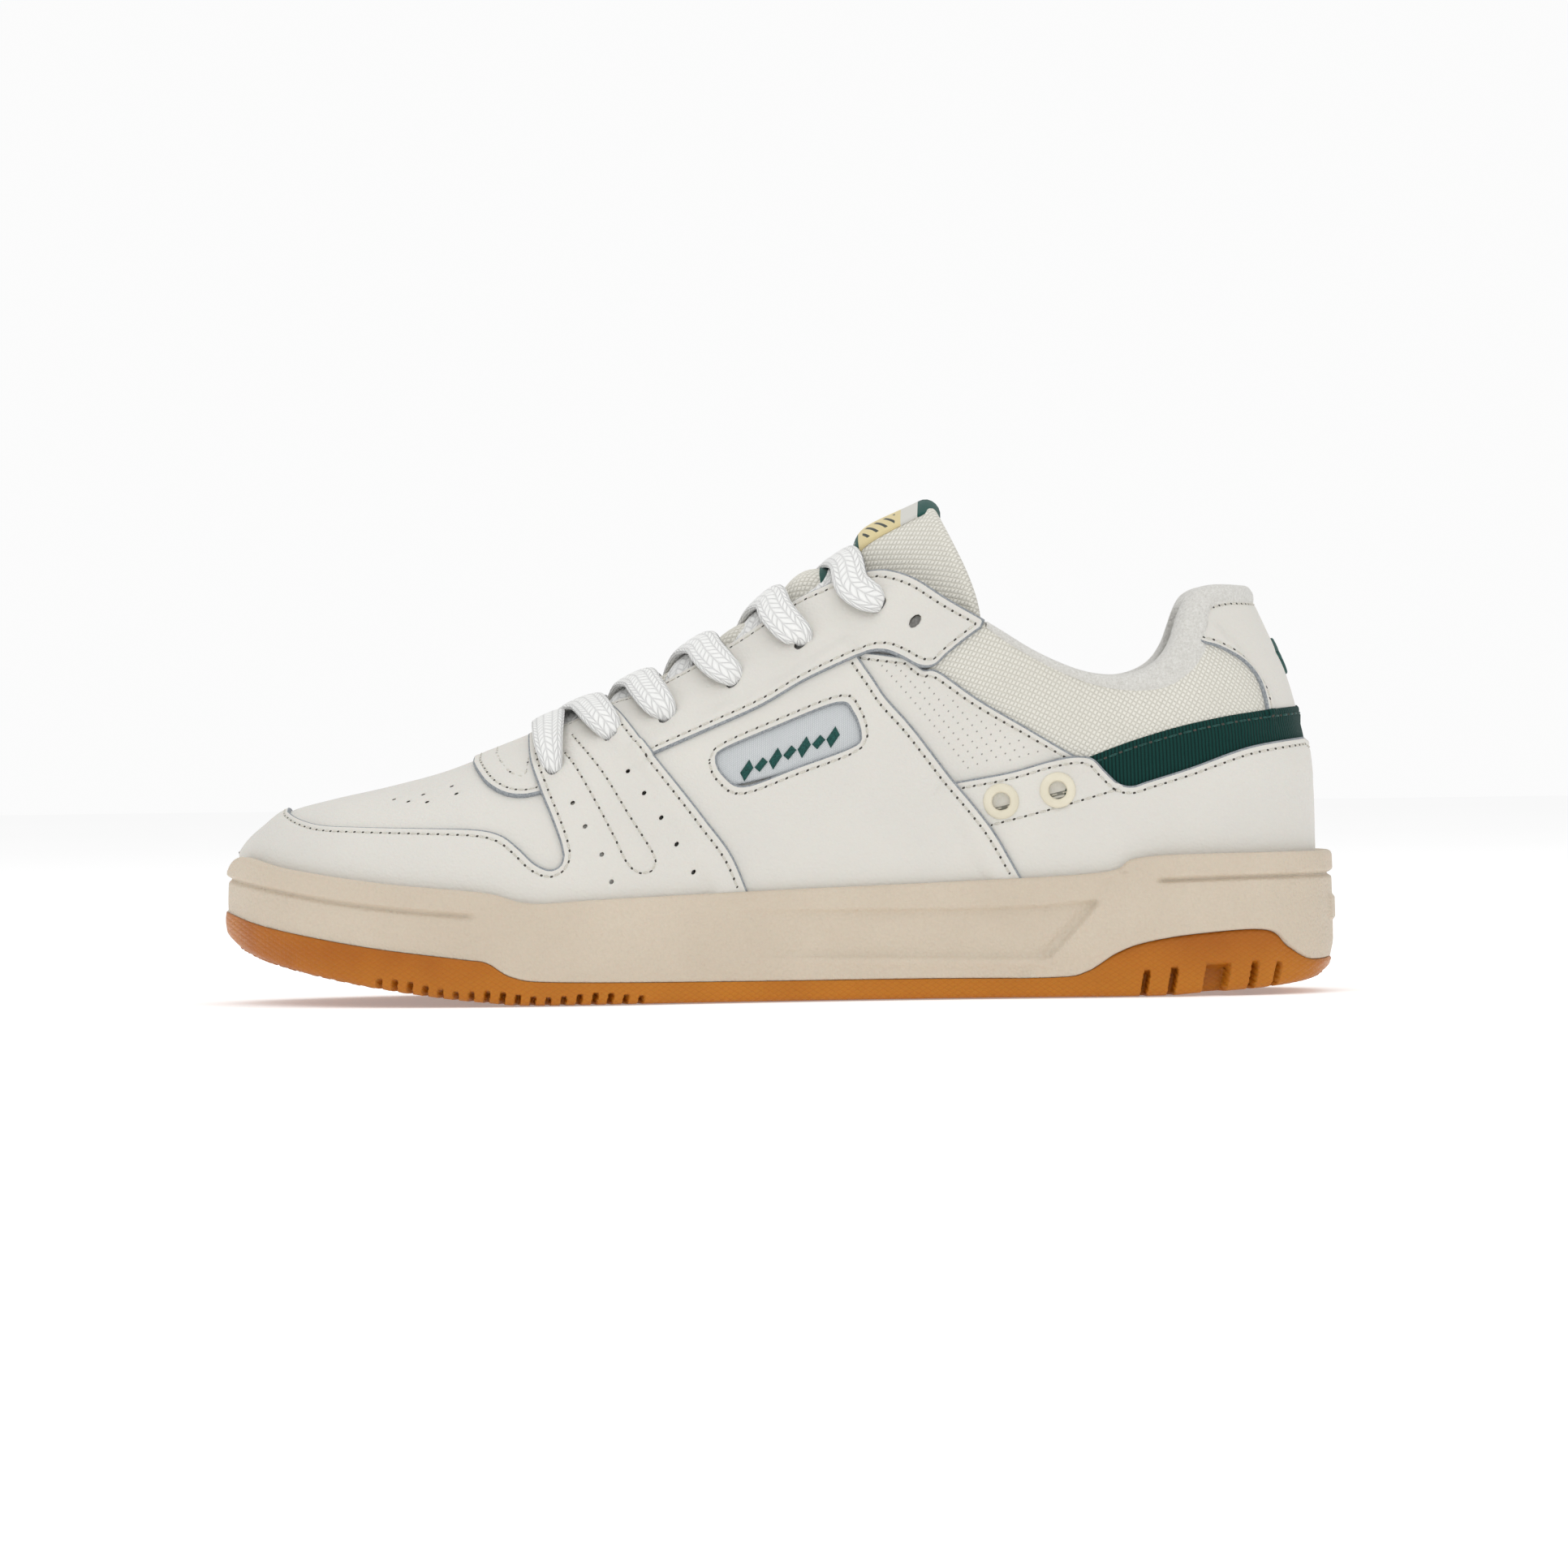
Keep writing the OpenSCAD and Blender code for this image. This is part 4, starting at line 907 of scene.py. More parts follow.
WINDOW_CORNERS = [[-15.6, 64.6], [-13.6, 60.3], [-8, 57.4], [6, 62.2], [20.5, 67.4], [22.6, 70.2],
                  [20.6, 76.2], [16.4, 78.7], [0, 72.6], [-13.4, 67.1]]
PERF_TOP = [[36, 91.2], [40.1, 87.8], [44, 87], [54.4, 79.5], [66.4, 72.2], [78.4, 64.9],
            [86, 61]]
FOX_TOP = [[44, 56.3], [48, 57.5], [62.2, 60], [73, 62.9], [80, 64], [84.4, 63.3], [88, 59.7],
           [91.4, 56.6], [95, 55.9], [99, 57.1], [110.6, 60.6], [126.8, 66], [143, 68.5]]
FOX_SEAM = [[57.2, 45.9], [73.4, 50], [90.6, 54.9]]
RIBBON_TOP = [[78, 61.8], [83.2, 63.7], [94.6, 67.8], [106.7, 71.3], [118.8, 73.9], [131, 75.7],
              [143.1, 77]]
TAB_LOW = [[114, 102], [113.4, 98], [113.8, 94.4], [119.1, 92.6], [125.5, 89], [129.5, 84.3],
           [131.3, 79], [132, 74]]
COLLAR_SEAM = [[50, 103], [56.2, 99], [62.7, 94], [70.7, 89], [78.7, 84.8], [86.7, 82],
               [94.8, 81], [101.2, 82], [106.9, 85.4], [111, 89.8], [113.5, 94.5], [115, 99.5],
               [117.4, 103.2], [121, 104.8], [126, 105], [132, 104.8]]
COLLAR_TOP = [[56, 101], [61, 97.8], [67.5, 93.5], [74, 90], [80.5, 87.3], [87, 86.2],
              [93.5, 87], [99, 89.8], [103.5, 94.6], [107, 100], [110.5, 105], [114, 108.4],
              [118.5, 110.3], [124, 110.8], [132, 110.6]]
STRIPE = [[-56.1, 66.8], [-52.9, 62.6], [-47.6, 53.4], [-43, 44.5], [-39.5, 37.3], [-36.1, 34.6],
          [-32.8, 35.4], [-32.2, 38.6], [-35.3, 44.2], [-39.3, 50.6], [-46.2, 61.9],
          [-54.3, 71.6]]
WING_HOLES = [[-53.9, 53.5], [-50.6, 47.2], [-46.2, 39.7], [-43.7, 32.4], [-39.2, 61.7],
              [-34.9, 55.8], [-30.4, 49.2], [-26.4, 42.1], [-22, 34.6]]
TOE_HOLES = [[-102.5, 56], [-98.5, 55.4], [-94.6, 57.2], [-93.4, 55.2], [-87, 59.3], [-85.6, 57.3]]
EYELETS = [[-59.3, 62.5], [-43.8, 71.2], [-29.2, 76.2], [-11, 85.5], [7.3, 95.7], [28, 105.2],
           [37.7, 100.6]]
VENTS = [[59.9, 52.2], [75, 55]]
PATCH_EDGE = [[-62, 56.5], [-66.5, 55.6], [-70.5, 55.8], [-74, 57], [-77.3, 59.2], [-80, 62.4],
              [-81.4, 64.6]]


def heel_line(z0, z1):
    """The heel's centre line between two heights."""
    z = np.linspace(z0, z1, 12)
    x = np.full(12, TIP - 0.001)
    q = at(x, section_place(x, z))
    return np.stack([np.full(12, HEEL_A), q[:, 1]], 1)


def to_heel(line):
    """Carries a line's last point to the heel's centre line."""
    q = seen(line)
    q[-1, 0] = HEEL_A
    return q[q[:, 0] <= HEEL_A]


def to_ridge(line):
    q = seen(line)
    q[-1, 1] = 0
    return q


# Base layer, which the other pieces cover in part
VAMP_REAR = [[-22, 23], [-26, 36], [-35, 50], [-43, 63], [-50, 70.5], [-56, 72.6], [-60.5, 73.4],
             [-62, 73.7]]
VAMP = Layer(round_toe(to_ridge(VAMP_REAR)), -1.3)
PATCH = Layer(joined(to_ridge(PATCH_EDGE), (to_ridge(PATCH_EDGE) * [1, -1])[::-1],
                     at([-62, -60, -58.5, -58, -58.5, -60, -62],
                        [1.56, 1.44, 1.2, 1, 0.8, 0.56, 0.44])), -0.2, over=[VAMP])
window_corners = np.vstack([curve(WINDOW_CORNERS, 6, closed=True), WINDOW_CORNERS[:1]])
window_line = spaced(seen(window_corners, 1), 0.7)[:-1]
TWILL_PATCH = Layer(joined(seen([[-21, 55.5], [26, 65.5]]), seen([[26, 65.5], [20, 84]]),
                           seen([[20, 84], [-20, 69]]), seen([[-20, 69], [-21, 55.5]])), -1.35)
CANVAS_SIDE = Layer(joined(seen([[40, 86.5], [54.4, 77.5], [66.4, 70.2], [80, 60.5]]),
                           seen([[80, 60.5], [100, 64], [134, 72]]),
                           seen([[134, 72], [133, 80], [126, 90], [117.5, 99]]),
                           seen([[117.5, 99], [114.2, 95], [111.4, 90.6], [107, 86.2], [101.2, 83],
                                 [94.8, 82], [86.7, 83], [78.7, 85.8], [70.7, 90], [62.7, 95],
                                 [52, 103]]),
                           seen([[52, 103], [40, 86.5]])), -1.2)
PERF = Layer(joined(seen([[16, 88], [48, 46]]), seen([[48, 46], [86, 55]]),
                    seen([[86, 55], [86, 61]]), seen(PERF_TOP[::-1]),
                    seen([[36, 91.2], [16, 94]])), -1.2, over=[CANVAS_SIDE])
HEEL_TAB = Layer(round_heel(to_heel([[114, 102.5], [116.5, 104.8], [121, 106], [126, 106.2],
                                     [132, 106]]),
                            np.vstack([heel_line(74, 74), seen([[142, 74], [132, 74]])[1:],
                                       seen(TAB_LOW[::-1])])), -1.2, over=[CANVAS_SIDE])
RIBBON_PIECE = Layer(round_heel(to_heel(RIBBON_TOP),
                                np.vstack([to_heel([[76, 52], [95, 51], [143, 60]])[::-1],
                                           seen([[76, 52], [78, 61.8]])])), -1.2, 0.7,
                     over=[CANVAS_SIDE, HEEL_TAB])
FOXING = Layer(round_heel(to_heel(FOX_TOP), np.vstack([bottom(TIP - 0.001, 60),
                                                      seen([[58, 30], [44, 56.3]])])), -0.2,
               over=[PERF, RIBBON_PIECE])
MID = Layer(joined(bottom(-16, 68), seen(MID_REAR), seen([[20, 96], [8, 89], [-4, 82], [-38, 68]]),
                   seen([[-38, 68], [-30, 55], [-16, 30]])), -0.1, over=[TWILL_PATCH, PERF, FOXING],
            cutouts=[window_line])
EYESTAY = Layer(joined(seen(FACING_TOP), seen(FACING_END), seen(FACING_LOW),
                       seen([[-38, 63], [-50, 77.2]])), -0.1, over=[MID, PERF, CANVAS_SIDE])
MUDGUARD = Layer(round_toe(seen(WING_REAR), seen(WING_TOP), seen(WING_FRONT),
                           to_ridge(MUDGUARD_TOP)), -0.1, over=[VAMP, PATCH, MID, EYESTAY])


# ---------- Building the pieces ----------

def over_cup(q):
    """Whether a place is above the cup's rim, where stitches show."""
    p = surface(q)
    return p[:, 2] > cup_z(p[:, 0]) + 1.2


def opposite(q, way):
    """The same places on the other half of a piece that crosses the toe's ridge or the heel."""
    return q * [1, -1] if way == "toe" else [2 * HEEL_A, 0] + q * [-1, 1]


def leather_piece(name, nodes, layer, material, way="side", holes=(), stitches=(), rows=(),
                  raised=None, wall=1.3, edge=None, pitch=2.9, grid=GRID,
                  body="shoe", groove=0.26, yarn=None):
    """Makes a cut piece with its walls and its stitching. holes are (side-view point, radius);
    stitches are distances inside the cut edge; rows are free stitch lines drawn on the outer half;
    raised is a closed line inside which the piece stands a little proud."""
    drawn = [(seen([point], 1)[0], r) for point, r in holes]
    lines = [seen(row) for row in rows]
    if way != "side":
        drawn += [(opposite(q, way), r) for q, r in drawn]
        lines += [opposite(line, way) for line in lines]
    closed = None if raised is None else spaced(seen(raised), 0.8, closed=True)

    def puff(q):
        h = np.zeros(len(q))
        near = outer_copy(q)
        for row in rows:
            line = seen(row)
            d = open_distance(near, line)
            h -= groove * np.exp(-(d / 0.5) ** 2)
        if closed is not None:
            h += 0.55 * smooth(depth_in(near, closed) / 3)
        return h

    q, tri, h = cut(layer, drawn, [(d, groove) for d in stitches], puff if rows else None, grid,
                    lines)
    points, faces, places, slots = sheet_mesh(q, tri, h, wall)
    near_hole = np.zeros(len(places), bool)
    for centre, r in drawn:
        near_hole |= np.linalg.norm(places - centre, axis=1) < r + 0.05
    raw = layer.depth(places) < (0.56 if edge is None else -9)
    # the walls round punched holes take the third material, painted shade inside the holes
    slots = [2 if k == 1 and near_hole[f[0]] else 1 if raw[list(f)].all() else k
             for k, f in zip(slots, faces)]

    def height(flat):
        out = layer.top(flat) - groove
        if closed is not None:
            out += 0.5 * smooth(depth_in(outer_copy(flat), closed) / 3)
        return out

    pairs = [stitch_rows(layer, d, pitch, over_cup) for d in stitches]
    pairs += [along_runs(spaced(line, 0.4), over_cup(spaced(line, 0.4)), pitch) for line in lines]
    pairs = np.vstack(pairs) if pairs else np.zeros((0, 2, 2))
    sewn, sewn_faces, sewn_slots = stitch_mesh(pairs, height)
    sides = [(OUTER, nodes[0])] + ([(INNER, nodes[1])] if way == "side" else [])
    made = []
    for side, node in sides:
        tag = name if way != "side" else name + ("_outer" if side == OUTER else "_inner")
        flip = side == INNER
        shape = mirror_points(points, flip)
        obj = make(tag, shape, faces, [material, edge or EDGE, HOLE_SHADE], places, slots, flip=flip)
        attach(obj, body)
        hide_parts(node)
        made.append(obj)
        if len(sewn):
            rows_obj = make(tag + "_stitches", mirror_points(sewn, flip), sewn_faces,
                            [yarn or THREAD, HOLE_SHADE], None, sewn_slots, flip=flip)
            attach(rows_obj, body)
    return made


def mirror_points(points, flip):
    """The other half's points: the surface isn't symmetric, so each keeps its own station."""
    if not flip:
        return points
    p = np.array(points)
    outer = np.interp(p[:, 0], angle_x, middle_y)
    p[:, 1] = 2 * outer - p[:, 1]
    return p


def open_distance(q, line):
    best = np.full(len(q), 1e9)
    for a, b in zip(line[:-1], line[1:]):
        d = b - a
        t = np.clip((q - a) @ d / max(d @ d, 1e-12), 0, 1)
        best = np.minimum(best, np.linalg.norm(q - a - t[:, None] * d, axis=1))
    return best


leather_piece("vamp", ["vamp"], VAMP, LEATHER, "toe", [(p, 0.55) for p in TOE_HOLES], grid=2.4)
leather_piece("throat_patch", ["throat_patch"], PATCH, LEATHER, "toe", stitches=[2.0, 6.5])
leather_piece("mudguard", ["mudguard"], MUDGUARD, LEATHER, "toe",
              [(p, 0.6) for p in WING_HOLES] + [(p, 2.0) for p in EYELETS[:2]],
              stitches=[1.9], rows=[STRIPE], raised=STRIPE)
leather_piece("mid_panel", ["mid_panel_outer", "mid_panel_inner"], MID, LEATHER, stitches=[1.9])
leather_piece("eyestay", ["eyestay_outer", "eyestay_inner"], EYESTAY, LEATHER,
              holes=[(p, 2.0) for p in EYELETS[2:6]] + [(EYELETS[6], 1.65)], stitches=[1.9])
leather_piece("foxing", ["foxing"], FOXING, LEATHER, "heel", [(p, 3.2) for p in VENTS],
              stitches=[1.9], rows=[FOX_SEAM])
leather_piece("heel_tab", ["heel_tab"], HEEL_TAB, LEATHER, "heel", stitches=[1.6])
leather_piece("vent_panel", ["vent_panel_outer", "vent_panel_inner"], PERF, LEATHER, stitches=[1.6])
leather_piece("heel_ribbon", ["heel_ribbon"], RIBBON_PIECE, RIBBON, "heel", stitches=[1.9],
              wall=0.7, edge=RIBBON, yarn=GREEN_THREAD, pitch=4.2)
leather_piece("collar_canvas", ["collar_canvas_outer", "collar_canvas_inner"], CANVAS_SIDE, CANVAS,
              edge=CANVAS)
leather_piece("window_patch", ["window_patch_outer", "window_patch_inner"], TWILL_PATCH, TWILL,
              edge=TWILL)


# ---------- Vent rings ----------

def join_parts(parts):
    """Several parts, each of points, faces and perhaps pattern places, as one mesh."""
    faces, n = [], 0
    for points, part_faces, *_ in parts:
        faces += [tuple(i + n for i in face) for face in part_faces]
        n += len(points)
    stacked = [np.vstack(column) for column in zip(*[(p[0], *p[2:]) for p in parts])]
    return (stacked[0], faces, *stacked[1:])


def lathe(q, profile, sides=48):
    """A turned piece standing on the surface at a pattern place."""
    centre, n = surface(q), normal(q)
    t = np.cross(n, [0, 0, 1.0])
    t /= np.linalg.norm(t)
    b = np.cross(n, t)
    ang = np.linspace(0, 2 * np.pi, sides, endpoint=False)
    p = np.array(profile, float)
    points = (centre + p[:, None, :1] * (np.cos(ang)[None, :, None] * t
                                         + np.sin(ang)[None, :, None] * b)
              + p[:, None, 1:] * n).reshape(-1, 3)
    faces = grid_faces(len(p), sides, wrap=True)
    last = (len(p) - 1) * sides
    faces += [(last + j, last + (j + 1) % sides, (j + 1) % sides, j) for j in range(sides)]
    return points, faces


RING_PROFILE = curve([[2.35, -1.6], [2.4, 0.3], [2.55, 0.75], [2.95, 1.0], [3.6, 0.92],
                      [4.2, 0.72], [4.62, 0.42], [4.78, 0.05], [4.6, -0.25], [3.2, -0.4],
                      [3.05, -1.6]], 3)
# the cloth that shows inside each ring, darkened grey as painted shade
MESH_PROFILE = np.array([[0.01, -1.3], [1.6, -1.3], [2.7, -1.3], [2.7, -1.5]])
ring_parts, mesh_parts = [], []
for vent in VENTS:
    q = seen([vent], 1)[0]
    lift = float(FOXING.top(q[None])[0])
    for side in (OUTER, INNER):
        ring_parts.append(lathe(q * [1, -side], RING_PROFILE + [0, lift]))
        mesh_parts.append(lathe(q * [1, -side], MESH_PROFILE + [0, lift]))
backs = make("vent_backs", *join_parts(mesh_parts), [VENT_BACK_SHADED])
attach(backs, "shoe")
rings = make("vent_rings_moulded", *join_parts(ring_parts), [RING])
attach(rings, "shoe")
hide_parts("vent_rings")


# ---------- Linings and the padded collar ----------

def sheet_faces(rows, cols):
    """Faces of a sheet with a front, a back and a rim, and how many of them are the front."""
    n = rows * cols
    front = grid_faces(rows, cols)
    loop = ([j for j in range(cols)] + [i * cols + cols - 1 for i in range(1, rows)]
            + [(rows - 1) * cols + j for j in range(cols - 2, -1, -1)]
            + [i * cols for i in range(rows - 2, 0, -1)])
    faces = [tuple(reversed(f)) for f in front] + [tuple(n + i for i in f) for f in front]
    faces += [(a, b, n + b, n + a) for a, b in zip(loop, loop[1:] + loop[:1])]
    return faces, len(front)


def slab(name, q, top, low, materials, node, body="shoe"):
    """A sheet between two heights over a grid of pattern places."""
    rows, cols = q.shape[:2]
    flat = q.reshape(-1, 2)
    points = np.vstack([lifted(flat, np.broadcast_to(top, (rows, cols)).ravel()),
                        lifted(flat, np.broadcast_to(low, (rows, cols)).ravel())])
    faces, front = sheet_faces(rows, cols)
    slots = [0] * front + [len(materials) - 1] * (len(faces) - front)
    obj = make(name, points, faces, materials, np.vstack([flat, flat]), slots)
    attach(obj, body)
    if node:
        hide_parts(*([node] if isinstance(node, str) else node))
    return obj


throat = np.vstack([seen(WING_TOP)[::-1], seen(FACING_TOP)[15:]])


def throat_c(a):
    """How far down from the ridge the throat's edge lies."""
    return np.interp(a, throat[:, 0], throat[:, 1])


lining_x = np.linspace(-141, -50, 60)
lining_v = np.linspace(0.05, 1.95, 50)
slab("vamp_lining_sheet", at(lining_x[:, None] + 0 * lining_v, 0 * lining_x[:, None] + lining_v),
     -3.4, -4.6, [CLOTH], "vamp_lining")
for side, tag in ((OUTER, "outer"), (INNER, "inner")):
    a = np.linspace(at(-64, 0.3)[0], at(57, 0.5)[0], 80)[:, None]
    share = np.linspace(0, 1, 26)[None, :]
    foot = np.interp(a, along, girth_length) * -0.97
    c = foot + (throat_c(a) - 0.5 - foot) * share
    q = np.stack([a + 0 * c, c * -side], -1)
    slab("quarter_lining_sheet_" + tag, q if side == OUTER else q[::-1], -2.6 + 0 * c, -3.9 + 0 * c,
         [BRUSHED], "quarter_lining_" + tag)

seam_curve, crest_curve = curve(COLLAR_SEAM, 10), curve(COLLAR_TOP, 10)


def collar_section(view_x):
    """Height and depth of the rolled lining at one place of the collar."""
    s = np.interp(view_x, seam_curve[:, 0], seam_curve[:, 1])
    c = np.interp(view_x, crest_curve[:, 0], crest_curve[:, 1])
    pad = 0.1 + 7.4 * smooth((view_x - 54) / 32)
    deep = -4.3 - pad
    r = c - s
    return curve([[s - 1.2, -3.2], [s - 0.5, -1.9], [s + 0.2 * r, -0.65], [s + 0.5 * r, -0.35],
                  [s + 0.82 * r, -1.3], [c - 0.02, -0.42 * pad - 1.6], [c - 0.6, -0.7 * pad - 3],
                  [c - 2.8, deep + 0.5], [s - 2.5, deep], [s - 13, deep + 0.8],
                  [s - 28, -6.2], [44, -6.1], [36, -6.2], [29, -6.4]], 4)


def collar_rows():
    rows = []
    half = 90
    for i in range(2 * half + 1):
        k = min(i, 2 * half - i)
        x = 57 + (TIP - 57) * math.sin(math.pi / 2 * k / half)
        view_x = x - float(lean(104) * lean_share(x))
        z, h = collar_section(view_x).T
        q = at(np.full(len(z), min(x, TIP - 1e-6)), section_place(np.full(len(z), x), z))
        if k == half:
            q[:, 0] = HEEL_A
        if i > half:
            q = q * [-1, 1] + [2 * HEEL_A, 0]
        rows.append(lifted(q, h))
    return np.array(rows)


collar = collar_rows()
rows, cols = collar.shape[:2]
lengths = np.cumsum(np.linalg.norm(np.diff(collar[:, 12], axis=0), axis=1))
across = np.linspace(0, 90, cols)
places = np.stack(np.broadcast_arrays(np.concatenate([[0], lengths])[:, None], across[None]), -1)
collar_obj = make("collar_lining_roll", collar.reshape(-1, 3),
                  [tuple(reversed(f)) for f in grid_faces(rows, cols)], [BRUSHED],
                  places.reshape(-1, 2))
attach(collar_obj, "shoe")
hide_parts("collar_lining", "collar_foam")


# ---------- Tongue ----------

TONGUE_X, TONGUE_END = -60, 41
T_ROWS, T_COLS = 96, 60


def eyelet_place(i, side):
    return seen([EYELETS[i]], 1)[0] * [1, -side]


strand_a = np.array([0.4 * eyelet_place(i, OUTER)[0] + 0.6 * eyelet_place(i - 1, OUTER)[0]
                     for i in range(1, 6)] + [eyelet_place(0, OUTER)[0]])


def tongue_height(q):
    """The pad fills the throat, is held down under the facings and swells between the laces."""
    edge = throat_c(np.minimum(q[..., 0], at(50, 0.5)[0]))
    share = np.clip((np.abs(edge) - np.abs(q[..., 1])) / np.maximum(np.abs(edge), 4), -0.5, 1)
    crown = -0.7 + 0 * q[..., 0]
    for a, sink in zip(strand_a, (1.1, 1.1, 1.5, 3.4, 6.2, 1.1)):
        crown -= sink * np.exp(-((q[..., 0] - a) / 5) ** 2)
    crown -= 2.2 * smooth((q[..., 0] - at(20, 0.5)[0]) / 20)
    crown -= 4.0 * smooth((at(-48, 0.5)[0] - q[..., 0]) / 10)
    return -6.4 + (crown + 6.4) * smooth(share / 0.75 + 0.12)


def tongue_grid():
    s = np.linspace(0, 1, T_ROWS)[:, None]
    w = np.sin(np.linspace(-1, 1, T_COLS) * math.pi / 2)[None, :]
    end = TONGUE_END + 18 * np.abs(w) ** 2.0 * (1 - 0.22 * np.abs(w) ** 8)
    x = TONGUE_X + (end - TONGUE_X) * np.sin(s * math.pi / 2) ** 0.9
    v = 1 + w * (0.34 + 0.26 * smooth(s))
    return at(x, v), (end - x), (1 - np.abs(w)) * (28 + 12 * s)


tongue_q, to_end, to_side = tongue_grid()
thick = 2.6 + 4.6 * smooth((tongue_q[..., 0] - at(-50, 0.5)[0]) / 40)
rim = np.sqrt(1 - (1 - np.clip(np.minimum(to_end, to_side) / 3.4, 0, 1)) ** 2)
middle = tongue_height(tongue_q) - thick / 2
tongue_flat = tongue_q.reshape(-1, 2)
for tag, sign, material, nodes, slot in (
        ("tongue_cloth", 1, CANVAS, ["tongue_canvas", "tongue_foam"], "canvas"),
        ("tongue_back", -1, BRUSHED, ["tongue_lining"], "brushed_lining")):
    points = lifted(tongue_flat, (middle + sign * (thick / 2 * rim + 0.02)).ravel())
    faces = grid_faces(T_ROWS, T_COLS)
    faces = [tuple(reversed(f)) for f in faces] if sign > 0 else faces
    obj = make(tag, points, faces, [material], tongue_flat)
    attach(obj, "tongue")
    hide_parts(*nodes)


# ---------- Laces ----------

LACE_W, LACE_T, HOLE_W = 9.6, 2.3, 3.8
UNDER, OVER, REST = -5.0, 2.3, 0.2
SINK = [0, 0, 0, 0.4, 2.4, 5.6]   # how deep each strand presses into the tongue


def lace_pass(i, side, lift):
    """Up out of the throat, across the tongue, over the facing and down through hole i."""
    start, end = eyelet_place(i - 1, -side), eyelet_place(i, side)
    start_edge = np.array([start[0], throat_c(start[0]) * side])
    end_edge = np.array([end[0], throat_c(end[0]) * -side])
    a1, a2, a3 = (start[0] + (end[0] - start[0]) * t for t in (0.14, 0.36, 0.58))
    return [([start[0], start[1]], UNDER, HOLE_W),
            ([start[0] + 0.6 * (a1 - start[0]), start[1] + 0.75 * (start_edge[1] - start[1])],
             UNDER + 0.5, 0.8 * LACE_W),
            ([a1, start_edge[1] * 0.62], -1.9 + lift * 0.5 - 0.6 * SINK[i], LACE_W),
            ([a2, 0], REST + lift - SINK[i], LACE_W),
            ([a3, end_edge[1] * 0.62], REST + 1.0 + lift * 0.6 - 0.5 * SINK[i], LACE_W),
            ([a3 + 0.1 * (end[0] - start[0]), end_edge[1] + 0.12 * (end[1] - end_edge[1])],
             OVER, LACE_W),
            ([end[0] - 0.16 * (end[0] - start[0]), end[1] + 0.36 * (end_edge[1] - end[1])],
             OVER + 0.4, 0.96 * LACE_W),
            ([end[0] - 0.3, end[1] + 0.1 * (end_edge[1] - end[1])], 0.9, 0.78 * LACE_W),
            ([end[0] + 0.4, end[1]], -2.6, HOLE_W)]


def lace_half(first):
    route = []
    for i in range(1, 6):
        side = -first if i % 2 == 1 else first
        lower = i % 2 == (1 if first == OUTER else 0)
        route += lace_pass(i, side, 0 if lower else LACE_T - 0.1)
    return route


def lace_tail(side):
    tail = [[33, 96], [36, 84], [30, 70], [14, 58], [-6, 50], [-26, 45]]
    return [(seen([p], 1)[0] * [1, -side], UNDER - 1.2, 4.0) for p in tail]


def half_bar(side):
    hole = eyelet_place(0, side)
    edge = throat_c(hole[0]) * -side
    return [([hole[0], hole[1]], -3.0, HOLE_W),
            ([hole[0], hole[1] + 0.05 * (edge - hole[1])], 0.6, 0.6 * LACE_W),
            ([hole[0] - 0.3, hole[1] + 0.35 * (edge - hole[1])], OVER + 0.6, 0.85 * LACE_W),
            ([hole[0] - 0.6, edge], OVER + 0.3, LACE_W)]


def lace_route():
    bar = half_bar(OUTER) + [([eyelet_place(0, OUTER)[0] - 1, 0], OVER - 0.2, LACE_W)]
    bar += half_bar(INNER)[::-1]
    return (lace_tail(INNER)[::-1] + lace_half(OUTER)[::-1] + bar + lace_half(INNER)
            + lace_tail(OUTER))


def ribbon_tube(route, sides=20, steps=7):
    """A flat woven ribbon along a route of (place, height, width)."""
    q = np.array([r[0] for r in route], float)
    centre = lifted(q, np.array([r[1] for r in route], float))
    out = normal(q)
    line = curve(np.hstack([centre, out, np.array([[r[2]] for r in route])]), steps)
    line = spaced(line, 1.1)
    centre, out, width = line[:, :3], line[:, 3:6], line[:, 6]
    t = np.gradient(centre, axis=0)
    t /= np.linalg.norm(t, axis=1)[:, None]
    flat = np.zeros_like(t)
    last = np.array([1.0, 0, 0])
    for k in range(len(t)):
        want = np.cross(t[k], out[k])
        if want @ last < 0:
            want = -want
        share = min(1.0, np.linalg.norm(want) * 1.4) ** 2 * 0.6
        b = want * share + last * (1 - share)
        b -= (b @ t[k]) * t[k]
        last = flat[k] = b / np.linalg.norm(b)
    for _ in range(4):
        flat[1:-1] = (flat[:-2] + 2 * flat[1:-1] + flat[2:]) / 4
    flat -= (flat * t).sum(1)[:, None] * t
    flat /= np.linalg.norm(flat, axis=1)[:, None]
    n = np.cross(flat, t)
    ang = np.linspace(0, 2 * np.pi, sides, endpoint=False)
    cos, sin = np.cos(ang), np.sin(ang)
    wide = np.sign(cos) * np.abs(cos) ** 0.8
    high = np.sign(sin) * np.abs(sin) ** 0.75
    gathered = np.clip((LACE_W - width) / (LACE_W - HOLE_W), 0, 1)
    half_t = LACE_T / 2 * (1 + 0.45 * gathered)
    points = (centre[:, None] + flat[:, None] * (width[:, None, None] / 2 * wide[None, :, None])
              + n[:, None] * (half_t[:, None, None] * high[None, :, None]))
    s = np.concatenate([[0], np.cumsum(np.linalg.norm(np.diff(centre, axis=0), axis=1))])
    places = np.stack(np.broadcast_arrays(s[:, None], ang[None] / (2 * np.pi) * 18.4), -1)
    faces = grid_faces(len(centre), sides, wrap=True)
    faces += [tuple(range(sides))[::-1], tuple(range((len(centre) - 1) * sides,
                                                     len(centre) * sides))]
    return points.reshape(-1, 3), faces, places.reshape(-1, 2), s[-1]


